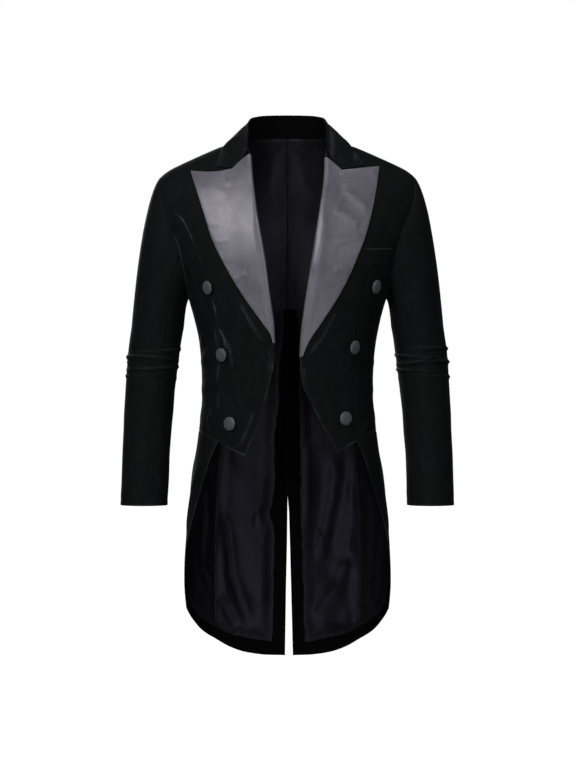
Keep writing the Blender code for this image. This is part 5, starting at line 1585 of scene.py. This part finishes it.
def fell_stitches(side):
    """Small stitches that sew the tail lining's inner edge to the facing."""
    outer, inner = GRIDS["tail_lining_" + SIDES[side]]
    seed = FELL_SEEDS[side]
    edge, beside, lift = inner[:, 0], inner[:, 3], (inner - outer)[:, 1]
    along = run_along(edge)
    stitches = []
    for k, place in enumerate(np.arange(FELL_START, along[-1] - FELL_END, FELL_SPACING)):
        place = place + FELL_PLACE_WAVE * uneven(k, 1.0, seed)
        start, middle, up = [np.array([np.interp(place, along, line[:, axis]) for axis in range(3)])
                             for line in (edge, beside, lift)]
        run = unit(middle - start) * FELL_LENGTH * (1 + FELL_LENGTH_WAVE * uneven(k, 1.0, seed + 1))
        stitches.append((start - run * FELL_INSIDE, start + run * (1 - FELL_INSIDE) + [0, 0, FELL_FALL], up))
    return stitches


def notch_tacks():
    """Bar tacks that hold the wearer's left lapel at its notch."""
    outer, inner = GRIDS["lapel_left"]
    stitches = []
    for tack in NOTCH_TACKS:
        ends = []
        for x, z in tack:
            gap = np.hypot(outer[..., 0] - x, outer[..., 2] - z)
            row, across = np.unravel_index(np.argmin(gap), gap.shape)
            ends.append(np.array([x, outer[row, across, 1], z]))
        stitches.append((*ends, (outer - inner)[row, across]))
    return stitches


def build_stage():
    """Pale floor under the coat, a white room round it and soft lights."""
    scene = bpy.context.scene
    scene.view_settings.view_transform = "Standard"
    mesh = bpy.data.meshes.new("floor")
    corners = [(-1, -1), (1, -1), (1, 1), (-1, 1)]
    places = [(x * FLOOR_REACH, y * FLOOR_REACH, FLOOR_HEIGHT) for x, y in corners]
    mesh.from_pydata(places, [], [(0, 1, 2, 3)])
    floor = placed("floor", mesh)
    material, tree, shader = new_material("pale_floor")
    set_sockets(shader, Base_Color=(0.86, 0.86, 0.86, 1.0), Roughness=0.9, Emission_Color=(1, 1, 1, 1),
                Emission_Strength=FLOOR_GLOW)
    mesh.materials.append(material)
    floor.visible_glossy = floor.visible_diffuse = False

    world = bpy.data.worlds.new("white_room")
    scene.world = world
    world.use_nodes = True
    tree = world.node_tree
    seen = add_node(tree, "ShaderNodeBackground", Strength=1.0, Color=(1, 1, 1, 1))
    light = tree.nodes["Background"]
    light.inputs["Color"].default_value = (0.97, 0.98, 1.0, 1)
    light.inputs["Strength"].default_value = ROOM_LIGHT
    chosen = add_node(tree, "ShaderNodeMixShader")
    rays = add_node(tree, "ShaderNodeLightPath")
    tree.links.new(rays.outputs["Is Camera Ray"], chosen.inputs[0])
    tree.links.new(light.outputs[0], chosen.inputs[1])
    tree.links.new(seen.outputs[0], chosen.inputs[2])
    tree.links.new(chosen.outputs[0], tree.nodes["World Output"].inputs["Surface"])

    for name, place, target, size, power in LIGHTS:
        lamp = bpy.data.lights.new(name, "AREA")
        lamp.shape = "RECTANGLE"
        lamp.size, lamp.size_y = size
        lamp.energy = power
        item = placed(name, lamp)
        item.location = place
        item.rotation_euler = (Vector(target) - Vector(place)).to_track_quat("-Z", "Y").to_euler()

    camera = bpy.data.cameras.new("camera")
    camera.sensor_width = SENSOR
    camera.lens = SENSOR * CAMERA_DISTANCE / PHOTO_SPAN
    camera.clip_end = 100
    item = placed("camera", camera)
    item.location = (CAMERA_ACROSS, -CAMERA_DISTANCE, CAMERA_HEIGHT)
    item.rotation_euler = (math.radians(90), 0, 0)
    scene.camera = item


build_stage()
body_seams = shared_seams()
for side in SIDES:
    build_front(side, body_seams)
    build_side(side, body_seams)
    build_skirt(side, body_seams)
    build_back(side, body_seams)
    build_upper_lining(side, body_seams)
    build_tail_lining(side, body_seams)
    build_lapel(side)
    build_sleeve(side, body_seams)
build_collar()
build_welt()
for row in BUTTONS:
    build_button(*row)
build_stitches("fell_stitches", fell_stitches(-1) + fell_stitches(1), "dark_thread")
build_stitches("notch_tacks", notch_tacks(), "pale_thread")
